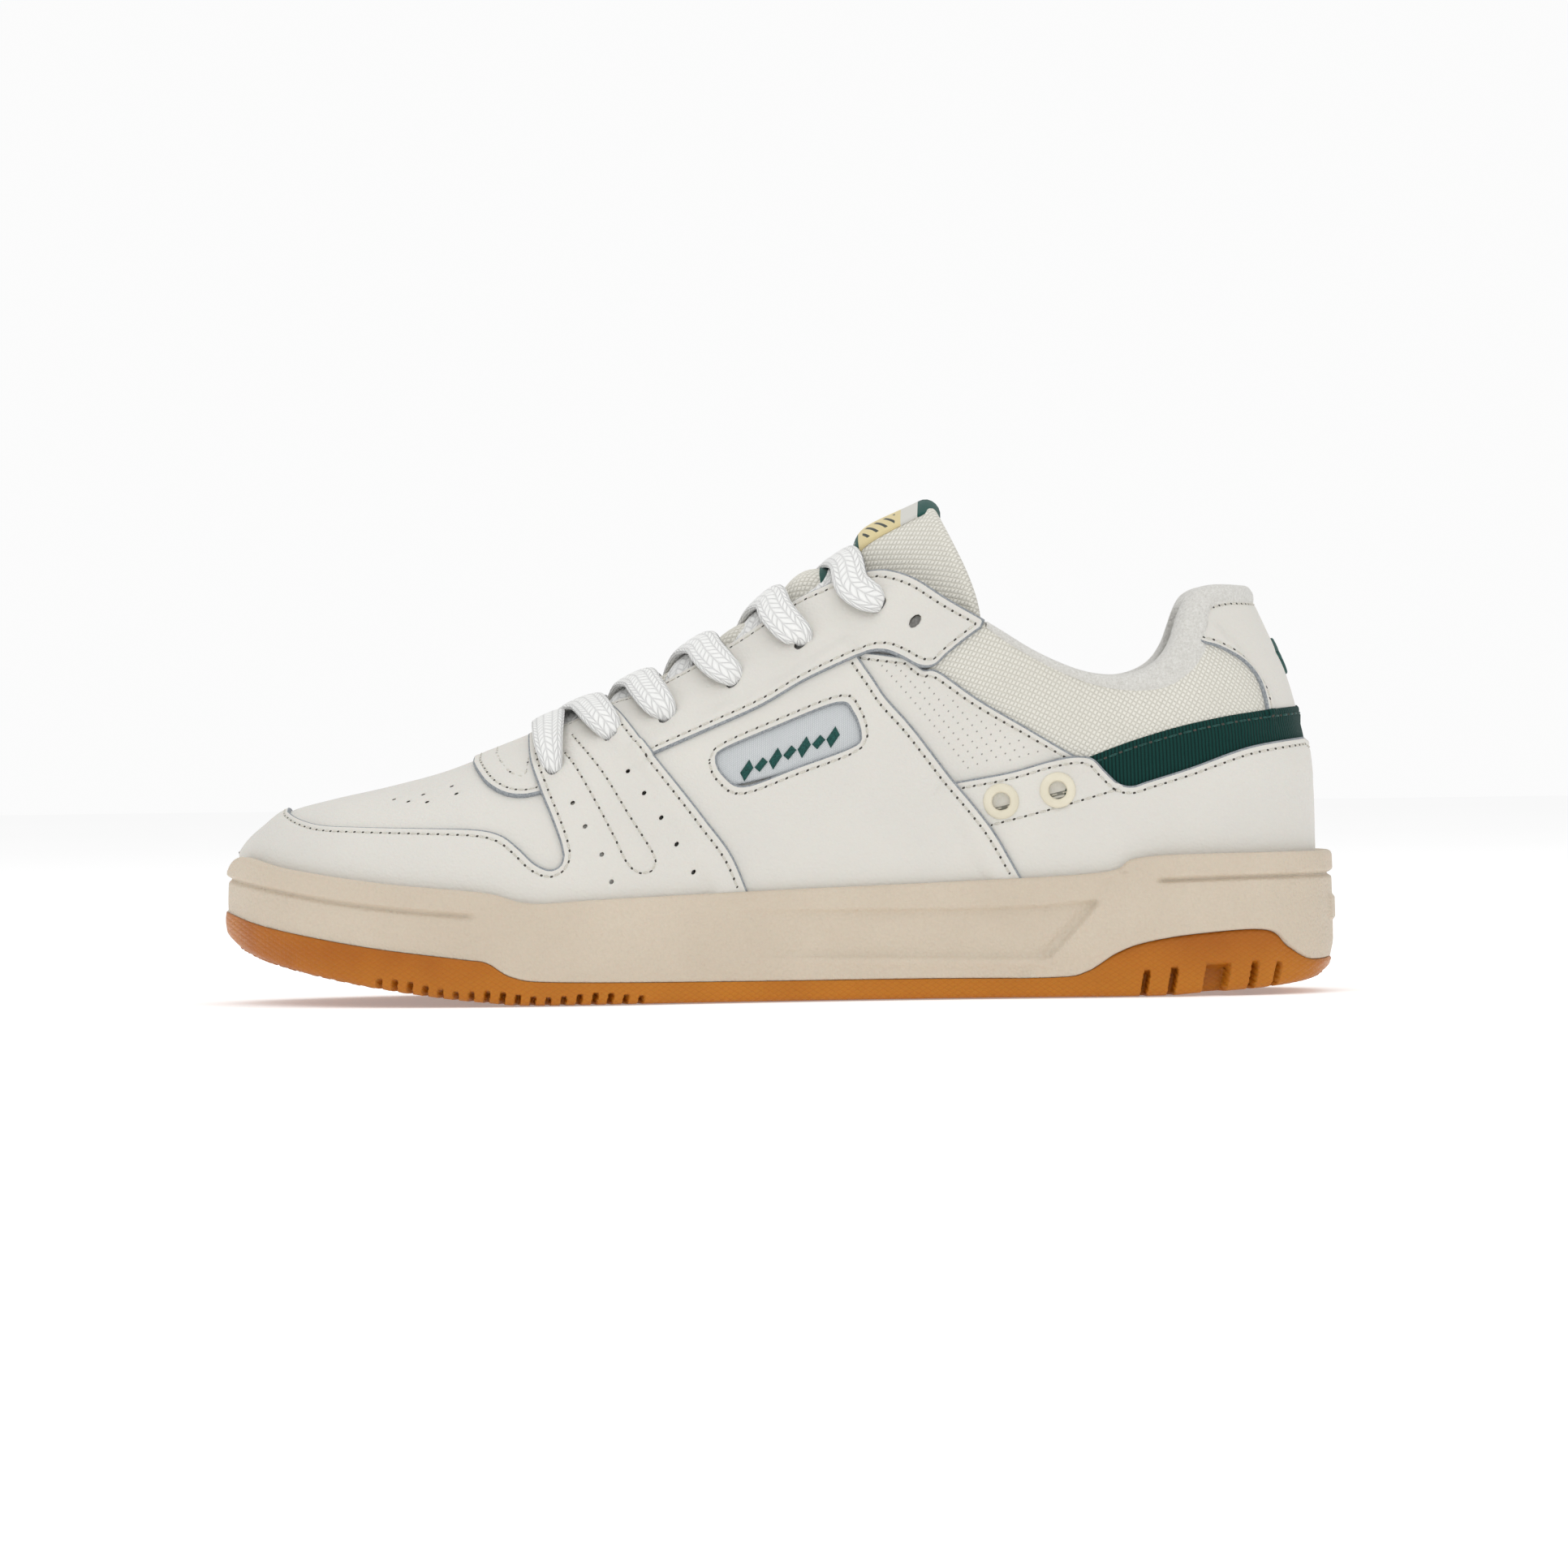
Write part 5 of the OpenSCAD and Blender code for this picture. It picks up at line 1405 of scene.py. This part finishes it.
points, faces, places, lace_length = ribbon_tube(lace_route())
lace = make("lace_ribbon", points, faces, [LACE], places)
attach(lace, "shoe")
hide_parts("lace")
print("lace length mm", round(lace_length))


# ---------- Sole ----------

def plan_ring(step_fine, step_coarse, fine_ranges):
    """Stations round the sole's outline, closer together where there is fine detail."""
    s = np.concatenate([[0], np.cumsum(np.linalg.norm(np.diff(np.vstack([plan, plan[:1]]), axis=0),
                                                      axis=1))])
    closed = np.vstack([plan, plan[:1]])
    out = np.vstack([plan_out, plan_out[:1]])
    t, stations = 0.0, []
    while t < s[-1] - 0.4 * step_coarse:
        stations.append(t)
        x = np.interp(t, s, closed[:, 0])
        fine = any(lo < x < hi for lo, hi in fine_ranges)
        t += step_fine if fine else step_coarse
    xy = np.stack([np.interp(stations, s, closed[:, i]) for i in (0, 1)], 1)
    n = np.stack([np.interp(stations, s, out[:, i]) for i in (0, 1)], 1)
    return xy, n / np.linalg.norm(n, axis=1)[:, None]


def band(value, line, width):
    """A soft channel that follows a line: 1 on it, 0 beyond its width."""
    return np.exp(-((value - line) / width) ** 2)


GROOVE_FRONT = Profile([[-149, 33.4], [-132.8, 30.2], [-119, 27.8], [-105, 25.9], [-91, 24.5],
                        [-79, 23.7]])
GROOVE_REAR = Profile([[101, 30.6], [124.7, 31.2], [149, 31.5]])
PANEL_TOP = Profile([[-30, 24], [18, 23.7], [51, 23.6], [71, 24.2], [86, 25.6]])
PANEL_LOW = Profile([[-30, 11.9], [12, 11.6], [51, 10.9], [70, 10.6], [73, 11.8], [76.3, 15.1],
                     [80.5, 19.6], [86, 25.6]])


def cup_relief(x, z, y):
    """How far the cup's side wall stands out from the plain outline."""
    out = 0 * x
    front = smooth((-78 - x) / 5)
    out -= 1.25 * front * band(z, GROOVE_FRONT(x), 0.6)
    out -= 0.45 * front * smooth((GROOVE_FRONT(x) - z) / 0.8)
    out += 0.3 * front * smooth((z - GROOVE_FRONT(x)) / 1.5)
    rear = smooth((x - 100) / 3)
    out -= 1.4 * rear * band(z, GROOVE_REAR(x), 0.55)
    out += 0.35 * rear * smooth((z - GROOVE_REAR(x)) / 1.5)
    inside_panel = (smooth((PANEL_TOP(x) - z) / 1.6 + 0.5) * smooth((z - PANEL_LOW(x)) / 1.1 + 0.5)
                    * smooth((86 - x) / 1.5) * smooth((x + 22) / 45))
    out -= 1.35 * inside_panel
    lip = band(z, PANEL_LOW(x) - 1.5, 1.3) * smooth((88 - x) / 6) * smooth((x + 10) / 50)
    out += 0.5 * lip
    # the heel block swells out behind a slanting crease
    slant = x - 72 - (z - 10) * 0.95
    out += 0.9 * smooth(slant / 7) * smooth((z - 8) / 6) - 0.55 * band(slant, -2.2, 2.0) * (z < 33)
    block = smooth((x - 84 - (z - 16) * 0.8) / 6) * smooth((26 - z) / 5)
    out += 0.5 * block * smooth((150 - x) / 10)
    pad = smooth((12 - np.abs(y - 1)) / 1.2) * smooth((3.6 - np.abs(z - 22.4)) / 1.0)
    out += 0.7 * pad * (x > 143)
    return out


def build_cup():
    xy, n = plan_ring(0.75, 0.75, [])
    x, y = xy.T
    low, high = gum_z(x), cup_z(x)
    rows = []

    def row(out, z):
        rows.append(np.column_stack([xy + n * np.asarray(out).reshape(-1, 1), z]))

    row(np.full(len(x), -7.0), low + 0.3)
    row(np.full(len(x), -1.0), low + 0.05)
    row(np.full(len(x), -0.25), low + 0.12)
    for share in np.linspace(0, 1, 58):
        z = low + 0.45 + (high - 1.5 - low - 0.45) * share
        draft = -0.5 * share ** 2 - 0.1 * (1 - share) ** 4
        row(draft + cup_relief(x, z, y), z)
    top_out = -0.5 + cup_relief(x, high - 1.5, y)
    for angle in np.linspace(15, 90, 6):
        rad = math.radians(angle)
        row(top_out - 1.5 * (1 - math.cos(rad)), high - 1.5 + 1.5 * math.sin(rad))
    row(top_out - 2.6, high - 0.15)
    row(np.full(len(x), -3.9), high - 0.9)
    row(np.full(len(x), -4.6), high - 4)
    row(np.full(len(x), -7.5), low + 4)
    points = np.vstack(rows)
    around = len(x)
    faces = grid_faces(len(rows), around, wrap=True)
    last = (len(rows) - 1) * around
    faces += [(last + j, last + (j + 1) % around, (j + 1) % around, j) for j in range(around)]
    return make("cup_wall", points, faces, [CUP])


SLOT_PITCH = 4.1
SLOTS = ([(-106 + SLOT_PITCH * i, 0.62, 2.5 + 0.5 * math.sin(i)) for i in range(18)]
         + [(97, 0.75, 6.4), (104.3, 0.85, 7.0), (116, 3.2, 7.0), (126, 0.85, 6.8),
            (132.5, 0.7, 6.0)])


def slot_share(x, z):
    """How much of a slot there is at a place of the outsole's edge."""
    share = 0 * x
    for centre, half, height in SLOTS:
        slanted = x - centre - 0.18 * (z - ground_z(x))
        rise = z - ground_z(centre)
        share = np.maximum(share, smooth((half - np.abs(slanted)) / 0.3 + 0.5)
                           * smooth((height - rise) / 0.8 + 0.5))
    return share


def wave(y):
    """Zigzag of the tread's grooves across the sole."""
    return 2.2 * (2 * np.abs(((y + 6) / 12) % 1 - 0.5) - 0.5) * 2


def tread(x, y):
    """Depth of the tread's grooves over the ground."""
    flat_x = x - wave(y) * smooth((34 - np.abs(y)) / 8)
    front = (x < -33) | ((x > -33) & (x < 94))
    near = (flat_x + 106) / SLOT_PITCH
    gap = np.abs(near - np.round(near)) * SLOT_PITCH
    groove = smooth((0.75 - gap) / 0.45 + 0.5)
    heel = 0 * x
    for centre, half, _ in SLOTS[18:]:
        heel = np.maximum(heel, smooth((half + 0.1 - np.abs(flat_x - centre)) / 0.45 + 0.5))
    arch_share = smooth((x + 30) / 8) * smooth((88 - x) / 8)
    return 1.5 * np.where(front, groove * (1 - 0.75 * arch_share), heel)


def build_outsole():
    xy, n = plan_ring(0.3, 0.9, [(-110, -32), (94, 137)])
    x, y = xy.T
    low, high = ground_z(x), gum_z(x)
    rows = []
    corner = np.minimum(2.4, (high - low) * 0.55)

    def row(out, z):
        notch = 5.5 * slot_share(x, z)
        rows.append(np.column_stack([xy + n * (out - notch)[:, None], z]))

    for angle in np.linspace(0, 90, 8):
        rad = math.radians(angle)
        row(-corner * (1 - math.sin(rad)), low + corner * (1 - math.cos(rad)))
    for share in np.linspace(0, 1, 16)[1:]:
        z = low + corner + (high - low - corner) * share
        row(0.25 * np.sin(math.pi * share) + 0 * x, z)
    row(np.full(len(x), -0.9), high + 0.02)
    points = np.vstack(rows)
    around = len(x)
    faces = grid_faces(len(rows), around, wrap=True)
    # the tread underneath and the glued top are flat sheets with the same outline
    for outline, height, down in ((rows[0][:, :2], lambda p: ground_z(p[:, 0]) + tread(*p.T), True),
                                  (rows[-1][:, :2], lambda p: gum_z(p[:, 0]), False)):
        step_x, step_y = (SLOT_PITCH / 8, 1.7) if down else (4, 4)
        gx, gy = np.meshgrid(np.arange(-150, 150, step_x), np.arange(-56, 57, step_y))
        if down:
            gx = gx + wave(gy) * smooth((34 - np.abs(gy)) / 8)
        g = np.stack([gx.ravel(), gy.ravel()], 1)
        g = g[depth_in_loop(g, outline) > 0.7]
        every = np.vstack([outline, g])
        ring = [(i, (i + 1) % around) for i in range(around)]
        verts, _, tris, origin, _, _ = delaunay_2d_cdt([Vector(p) for p in every.tolist()], ring,
                                                       [], 0, 1e-5)
        v = np.array([p[:] for p in verts])
        t = np.array([f for f in tris if len(f) == 3])
        t = t[inside(v[t].mean(1), outline)]
        z = height(v)
        owner = np.array([o[0] if len(o) else -1 for o in origin])
        on_rim = (owner >= 0) & (owner < around)
        base = 0 if down else (len(rows) - 1) * around
        index = np.where(on_rim, base + owner, 0)
        index[~on_rim] = len(points) + np.arange((~on_rim).sum())
        points = np.vstack([points, np.column_stack([v, z])[~on_rim]])
        t = index[t]
        faces += [tuple(f) for f in (t[:, ::-1] if down else t).tolist()]
    return make("outsole_tread", points, faces, [GUM])


def depth_in_loop(q, line):
    keep = inside(q, line)
    d = np.full(len(q), -1.0)
    far, _ = segment_distance(q[keep], line + [0, 0])
    d[keep] = far
    return d


cup = build_cup()
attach(cup, "shoe")
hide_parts("midsole_cup")
outsole = build_outsole()
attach(outsole, "shoe")
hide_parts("outsole")

# ---------- Small perforations and stitched ornaments ----------

def on_layer(layer, q, lift):
    return lifted(q, layer.top(q) + lift)


def grid_in(outline, pitch, margin):
    """Places of a staggered grid inside an outline."""
    low, high = outline.min(0), outline.max(0)
    gx, gy = np.meshgrid(np.arange(low[0], high[0], pitch),
                         np.arange(low[1], high[1], pitch * 0.87))
    gx = gx + (np.arange(gx.shape[0]) % 2 * pitch / 2)[:, None]
    q = np.stack([gx.ravel(), gy.ravel()], 1)
    return q[depth_in(q, outline) > margin]


shown = joined(seen(MID_REAR), seen([MID_REAR[-1], [34, 93]]), seen(PERF_TOP),
               seen([[86, 61], [80, 64]]), seen(FOX_TOP[:5][::-1]))
# the fine perforations are flat dark discs of painted shade on the vent panel, not holes
dots = grid_in(shown, 2.5, 2.9)
ring8 = np.linspace(0, 2 * np.pi, 8, endpoint=False)
disc = np.stack([np.cos(ring8), np.sin(ring8)], 1) * 0.22
flat = (dots[:, None] + disc[None]).reshape(-1, 2)
dot_points = on_layer(PERF, flat, 0.05)
dot_faces = [tuple(range(i * 8, i * 8 + 8)) for i in range(len(dots))]
for side, tag in ((OUTER, "outer"), (INNER, "inner")):
    obj = make("perforations_" + tag, mirror_points(dot_points, side == INNER), dot_faces,
               [PIN_HOLE_SHADE],
               flip=side == INNER)
    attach(obj, "shoe")


def satin_lozenge(layer, centre, along_dir, half_long, half_high, thick, hollow=0.0):
    """A raised lozenge of satin stitch, as points and faces over a layer."""
    n = 14
    u = np.array(along_dir, float) / np.linalg.norm(along_dir)
    w = np.array([-u[1], u[0]])
    s = np.linspace(-1, 1, 2 * n + 1)
    rows = []
    for a in s:
        for b in s:
            p = np.array([(a + b) / 2, (a - b) / 2])
            rows.append((p, max(abs(a), abs(b))))
    local = np.array([r[0] for r in rows])
    edge = np.array([r[1] for r in rows])
    flat = centre + local[:, :1] * u * half_long + local[:, 1:] * w * half_high
    h = thick * np.sqrt(np.clip(1 - edge ** 3, 0, 1))
    side = 2 * n + 1
    if hollow:
        keep = edge > hollow - 1e-6
        inner = np.clip((edge - hollow) / (1 - hollow), 0, 1)
        h = thick * np.sqrt(np.clip(1 - (2 * inner - 1) ** 2, 0, 1))
    points = on_layer(layer, flat, -0.05) + normal(flat) * h[:, None]
    faces = grid_faces(side, side)
    if hollow:
        faces = [f for f in faces if all(keep[i] for i in f)]
    return points, faces, flat


window_dir = seen([[-8, 61.4], [16, 70.2]], 1)
row_dir = window_dir[1] - window_dir[0]
parts = [satin_lozenge(TWILL_PATCH, window_dir[0] + row_dir * t, row_dir, 1.9,
                       2.7 - 0.9 * (i % 2), 0.7)
         for i, t in enumerate(np.linspace(0.02, 0.98, 7))]
points, faces, places = join_parts(parts)
for side, tag in ((OUTER, "outer"), (INNER, "inner")):
    obj = make("window_lozenges_" + tag, mirror_points(points, side == INNER), faces,
               [GREEN_THREAD], places, flip=side == INNER)
    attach(obj, "shoe")

heel_c = heel_line(90.5, 90.5)[0, 1]
motif = [satin_lozenge(HEEL_TAB, np.array([HEEL_A, heel_c]), [1, 0], 8.2, 5.6, 0.8, hollow=0.62),
         satin_lozenge(HEEL_TAB, np.array([HEEL_A, heel_c]), [1, 0], 3.4, 2.3, 0.8)]
points, faces, places = join_parts(motif)
obj = make("heel_lozenge", points, faces, [GREEN_THREAD], places)
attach(obj, "shoe")
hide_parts("heel_motif")


# ---------- Tongue label ----------

def tongue_label():
    """A ribbon along the middle of the tongue that turns over its top."""
    start, end = at(11, 1)[0], at(TONGUE_END, 1)[0]
    last = tongue_thick(end)
    line = [(a, float(tongue_height(np.array([a, 0.0]))) + 0.5)
            for a in np.linspace(start, end - 2.5, 30)]
    top = line[-1][1]
    for angle in np.linspace(15, 165, 9):
        r = math.radians(angle)
        line.append((end - 2.5 + 3.4 * math.sin(r), top - (last / 2 + 0.5) * (1 - math.cos(r))))
    line += [(a, top - last - 1.0) for a in np.linspace(end - 3, end - 11, 6)]
    line = np.array(line)
    half, cols = 12.5, 21
    across = np.linspace(-half, half, cols)
    s = np.concatenate([[0], np.cumsum(np.linalg.norm(np.diff(line, axis=0), axis=1))])
    outer, inner = [], []
    for thick, out in ((0.0, outer), (-0.45, inner)):
        step = np.gradient(line, axis=0)
        step /= np.linalg.norm(step, axis=1)[:, None]
        offset = line + np.stack([-step[:, 1], step[:, 0]], 1) * thick
        for a, h in offset:
            q = np.stack([np.full(cols, a), across], 1)
            base = float(tongue_height(np.array([a if a < end - 2.5 else end - 2.5, 0.0])))
            sag = tongue_height(np.stack([np.full(cols, min(a, end - 2.5)), across], 1)) - base
            out.append(lifted(q, h + sag))
    rows = len(line)
    points = np.vstack([np.array(outer).reshape(-1, 3), np.array(inner).reshape(-1, 3)])
    faces, _ = sheet_faces(rows, cols)
    places = np.stack(np.broadcast_arrays(s[:, None], across[None]), -1).reshape(-1, 2)
    return points, faces, np.vstack([places, places])


def tongue_thick(a):
    return float(2.6 + 4.6 * smooth((a - at(-50, 0.5)[0]) / 40))


points, faces, places = tongue_label()
obj = make("tongue_label_ribbon", points, faces, [LABEL], places)
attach(obj, "tongue")
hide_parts("tongue_label")


# ---------- Insole and the hidden parts ----------

INSOLE_INSET, INSOLE_THICK = 11.2, 4.6


def insole():
    xy, n = plan_ring(2.5, 2.5, [])
    ring = xy - n * INSOLE_INSET
    spine = np.stack([ring[:, 0] * 0.8, np.interp(ring[:, 0] * 0.8, angle_x, middle_y)], 1)
    rows = []
    top = board_z(ring[:, 0]) + INSOLE_THICK
    rows.append(np.column_stack([ring, top - 2.9]))
    rows.append(np.column_stack([ring, top - 0.6]))
    for share in (0.99, 0.96, 0.9, 0.8, 0.68, 0.55, 0.4, 0.25, 0.1, 0.001):
        p = spine + (ring - spine) * share
        z = board_z(p[:, 0]) + INSOLE_THICK + 2.2 * share ** 5 - 0.9
        rows.append(np.column_stack([p, z]))
    points = np.vstack(rows)
    around = len(ring)
    faces = grid_faces(len(rows), around, wrap=True)
    return make("insole_crowned", points, faces, [CLOTH], points[:, :2])


obj = insole()
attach(obj, "shoe")
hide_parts("sockliner")

for node, material in (("midsole_foam", FOAM), ("strobel_board", CLOTH), ("toe_puff", BOARD),
                       ("heel_counter", BOARD), ("lace_tips", TIP_FILM)):
    mesh = bpy.data.objects[node].data
    mesh.materials.clear()
    mesh.materials.append(material)

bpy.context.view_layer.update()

# ---------- Camera, light and floor ----------

ELEVATION, ROLL, DISTANCE = math.radians(0.6), math.radians(0.72), 2.35
STUDIO_LIGHT, BACKDROP = 0.72, 0.97
FLOOR_HALF, FLOOR_Z = 4000, -0.3
WHITE = (1, 1, 1, 1)

centre = Vector((0.0025, 0.0, 0.0572))
cam = bpy.data.cameras.new("camera")
cam.lens = 200
cam.sensor_width = 36
camera = bpy.data.objects.new("camera", cam)
bpy.context.scene.collection.objects.link(camera)
bpy.context.scene.camera = camera
camera.location = centre + DISTANCE * Vector((0, -math.cos(ELEVATION), math.sin(ELEVATION)))
camera.rotation_euler = (math.pi / 2 - ELEVATION, ROLL, 0)


def area_light(name, place, size, power, target=(0, 0, 0.05)):
    lamp = bpy.data.lights.new(name, "AREA")
    lamp.energy, lamp.size = power, size
    obj = bpy.data.objects.new(name, lamp)
    obj.location = place
    obj.rotation_euler = (Vector(target) - Vector(place)).to_track_quat("-Z", "Y").to_euler()
    bpy.context.scene.collection.objects.link(obj)
    return obj


area_light("key", (-0.7, -1.1, 1.5), 1.3, 6)
area_light("fill", (1.0, -1.0, 1.1), 1.4, 2.5)
area_light("top", (0.1, 0.3, 1.5), 1.4, 5)
world = bpy.data.worlds.new("studio")
bpy.context.scene.world = world
world.use_nodes = True
tree = world.node_tree
tree.nodes["Background"].inputs[0].default_value = WHITE
tree.nodes["Background"].inputs[1].default_value = STUDIO_LIGHT
backdrop = tree.nodes.new("ShaderNodeBackground")
backdrop.inputs[1].default_value = BACKDROP
path = tree.nodes.new("ShaderNodeLightPath")
either = tree.nodes.new("ShaderNodeMixShader")
tree.links.new(path.outputs["Is Camera Ray"], either.inputs[0])
tree.links.new(tree.nodes["Background"].outputs[0], either.inputs[1])
tree.links.new(backdrop.outputs[0], either.inputs[2])
tree.links.new(either.outputs[0], tree.nodes["World Output"].inputs[0])
backdrop.inputs[0].default_value = WHITE
bpy.context.scene.view_settings.view_transform = "Standard"

paper = Nodes("white_floor")
paper.finish(paper.mix(paper.noise(paper.where(), 3), (0.93, 0.93, 0.93), (0.95, 0.95, 0.95)), 1.0,
             Specular_IOR_Level=0.0, Emission_Color=(1, 1, 1), Emission_Strength=0.26)
floor_points = [[x * FLOOR_HALF, y * FLOOR_HALF, FLOOR_Z]
                for x, y in ((-1, -1), (1, -1), (1, 1), (-1, 1))]
floor = make("floor", floor_points, [(0, 1, 2, 3)], [paper.material], soft=False)
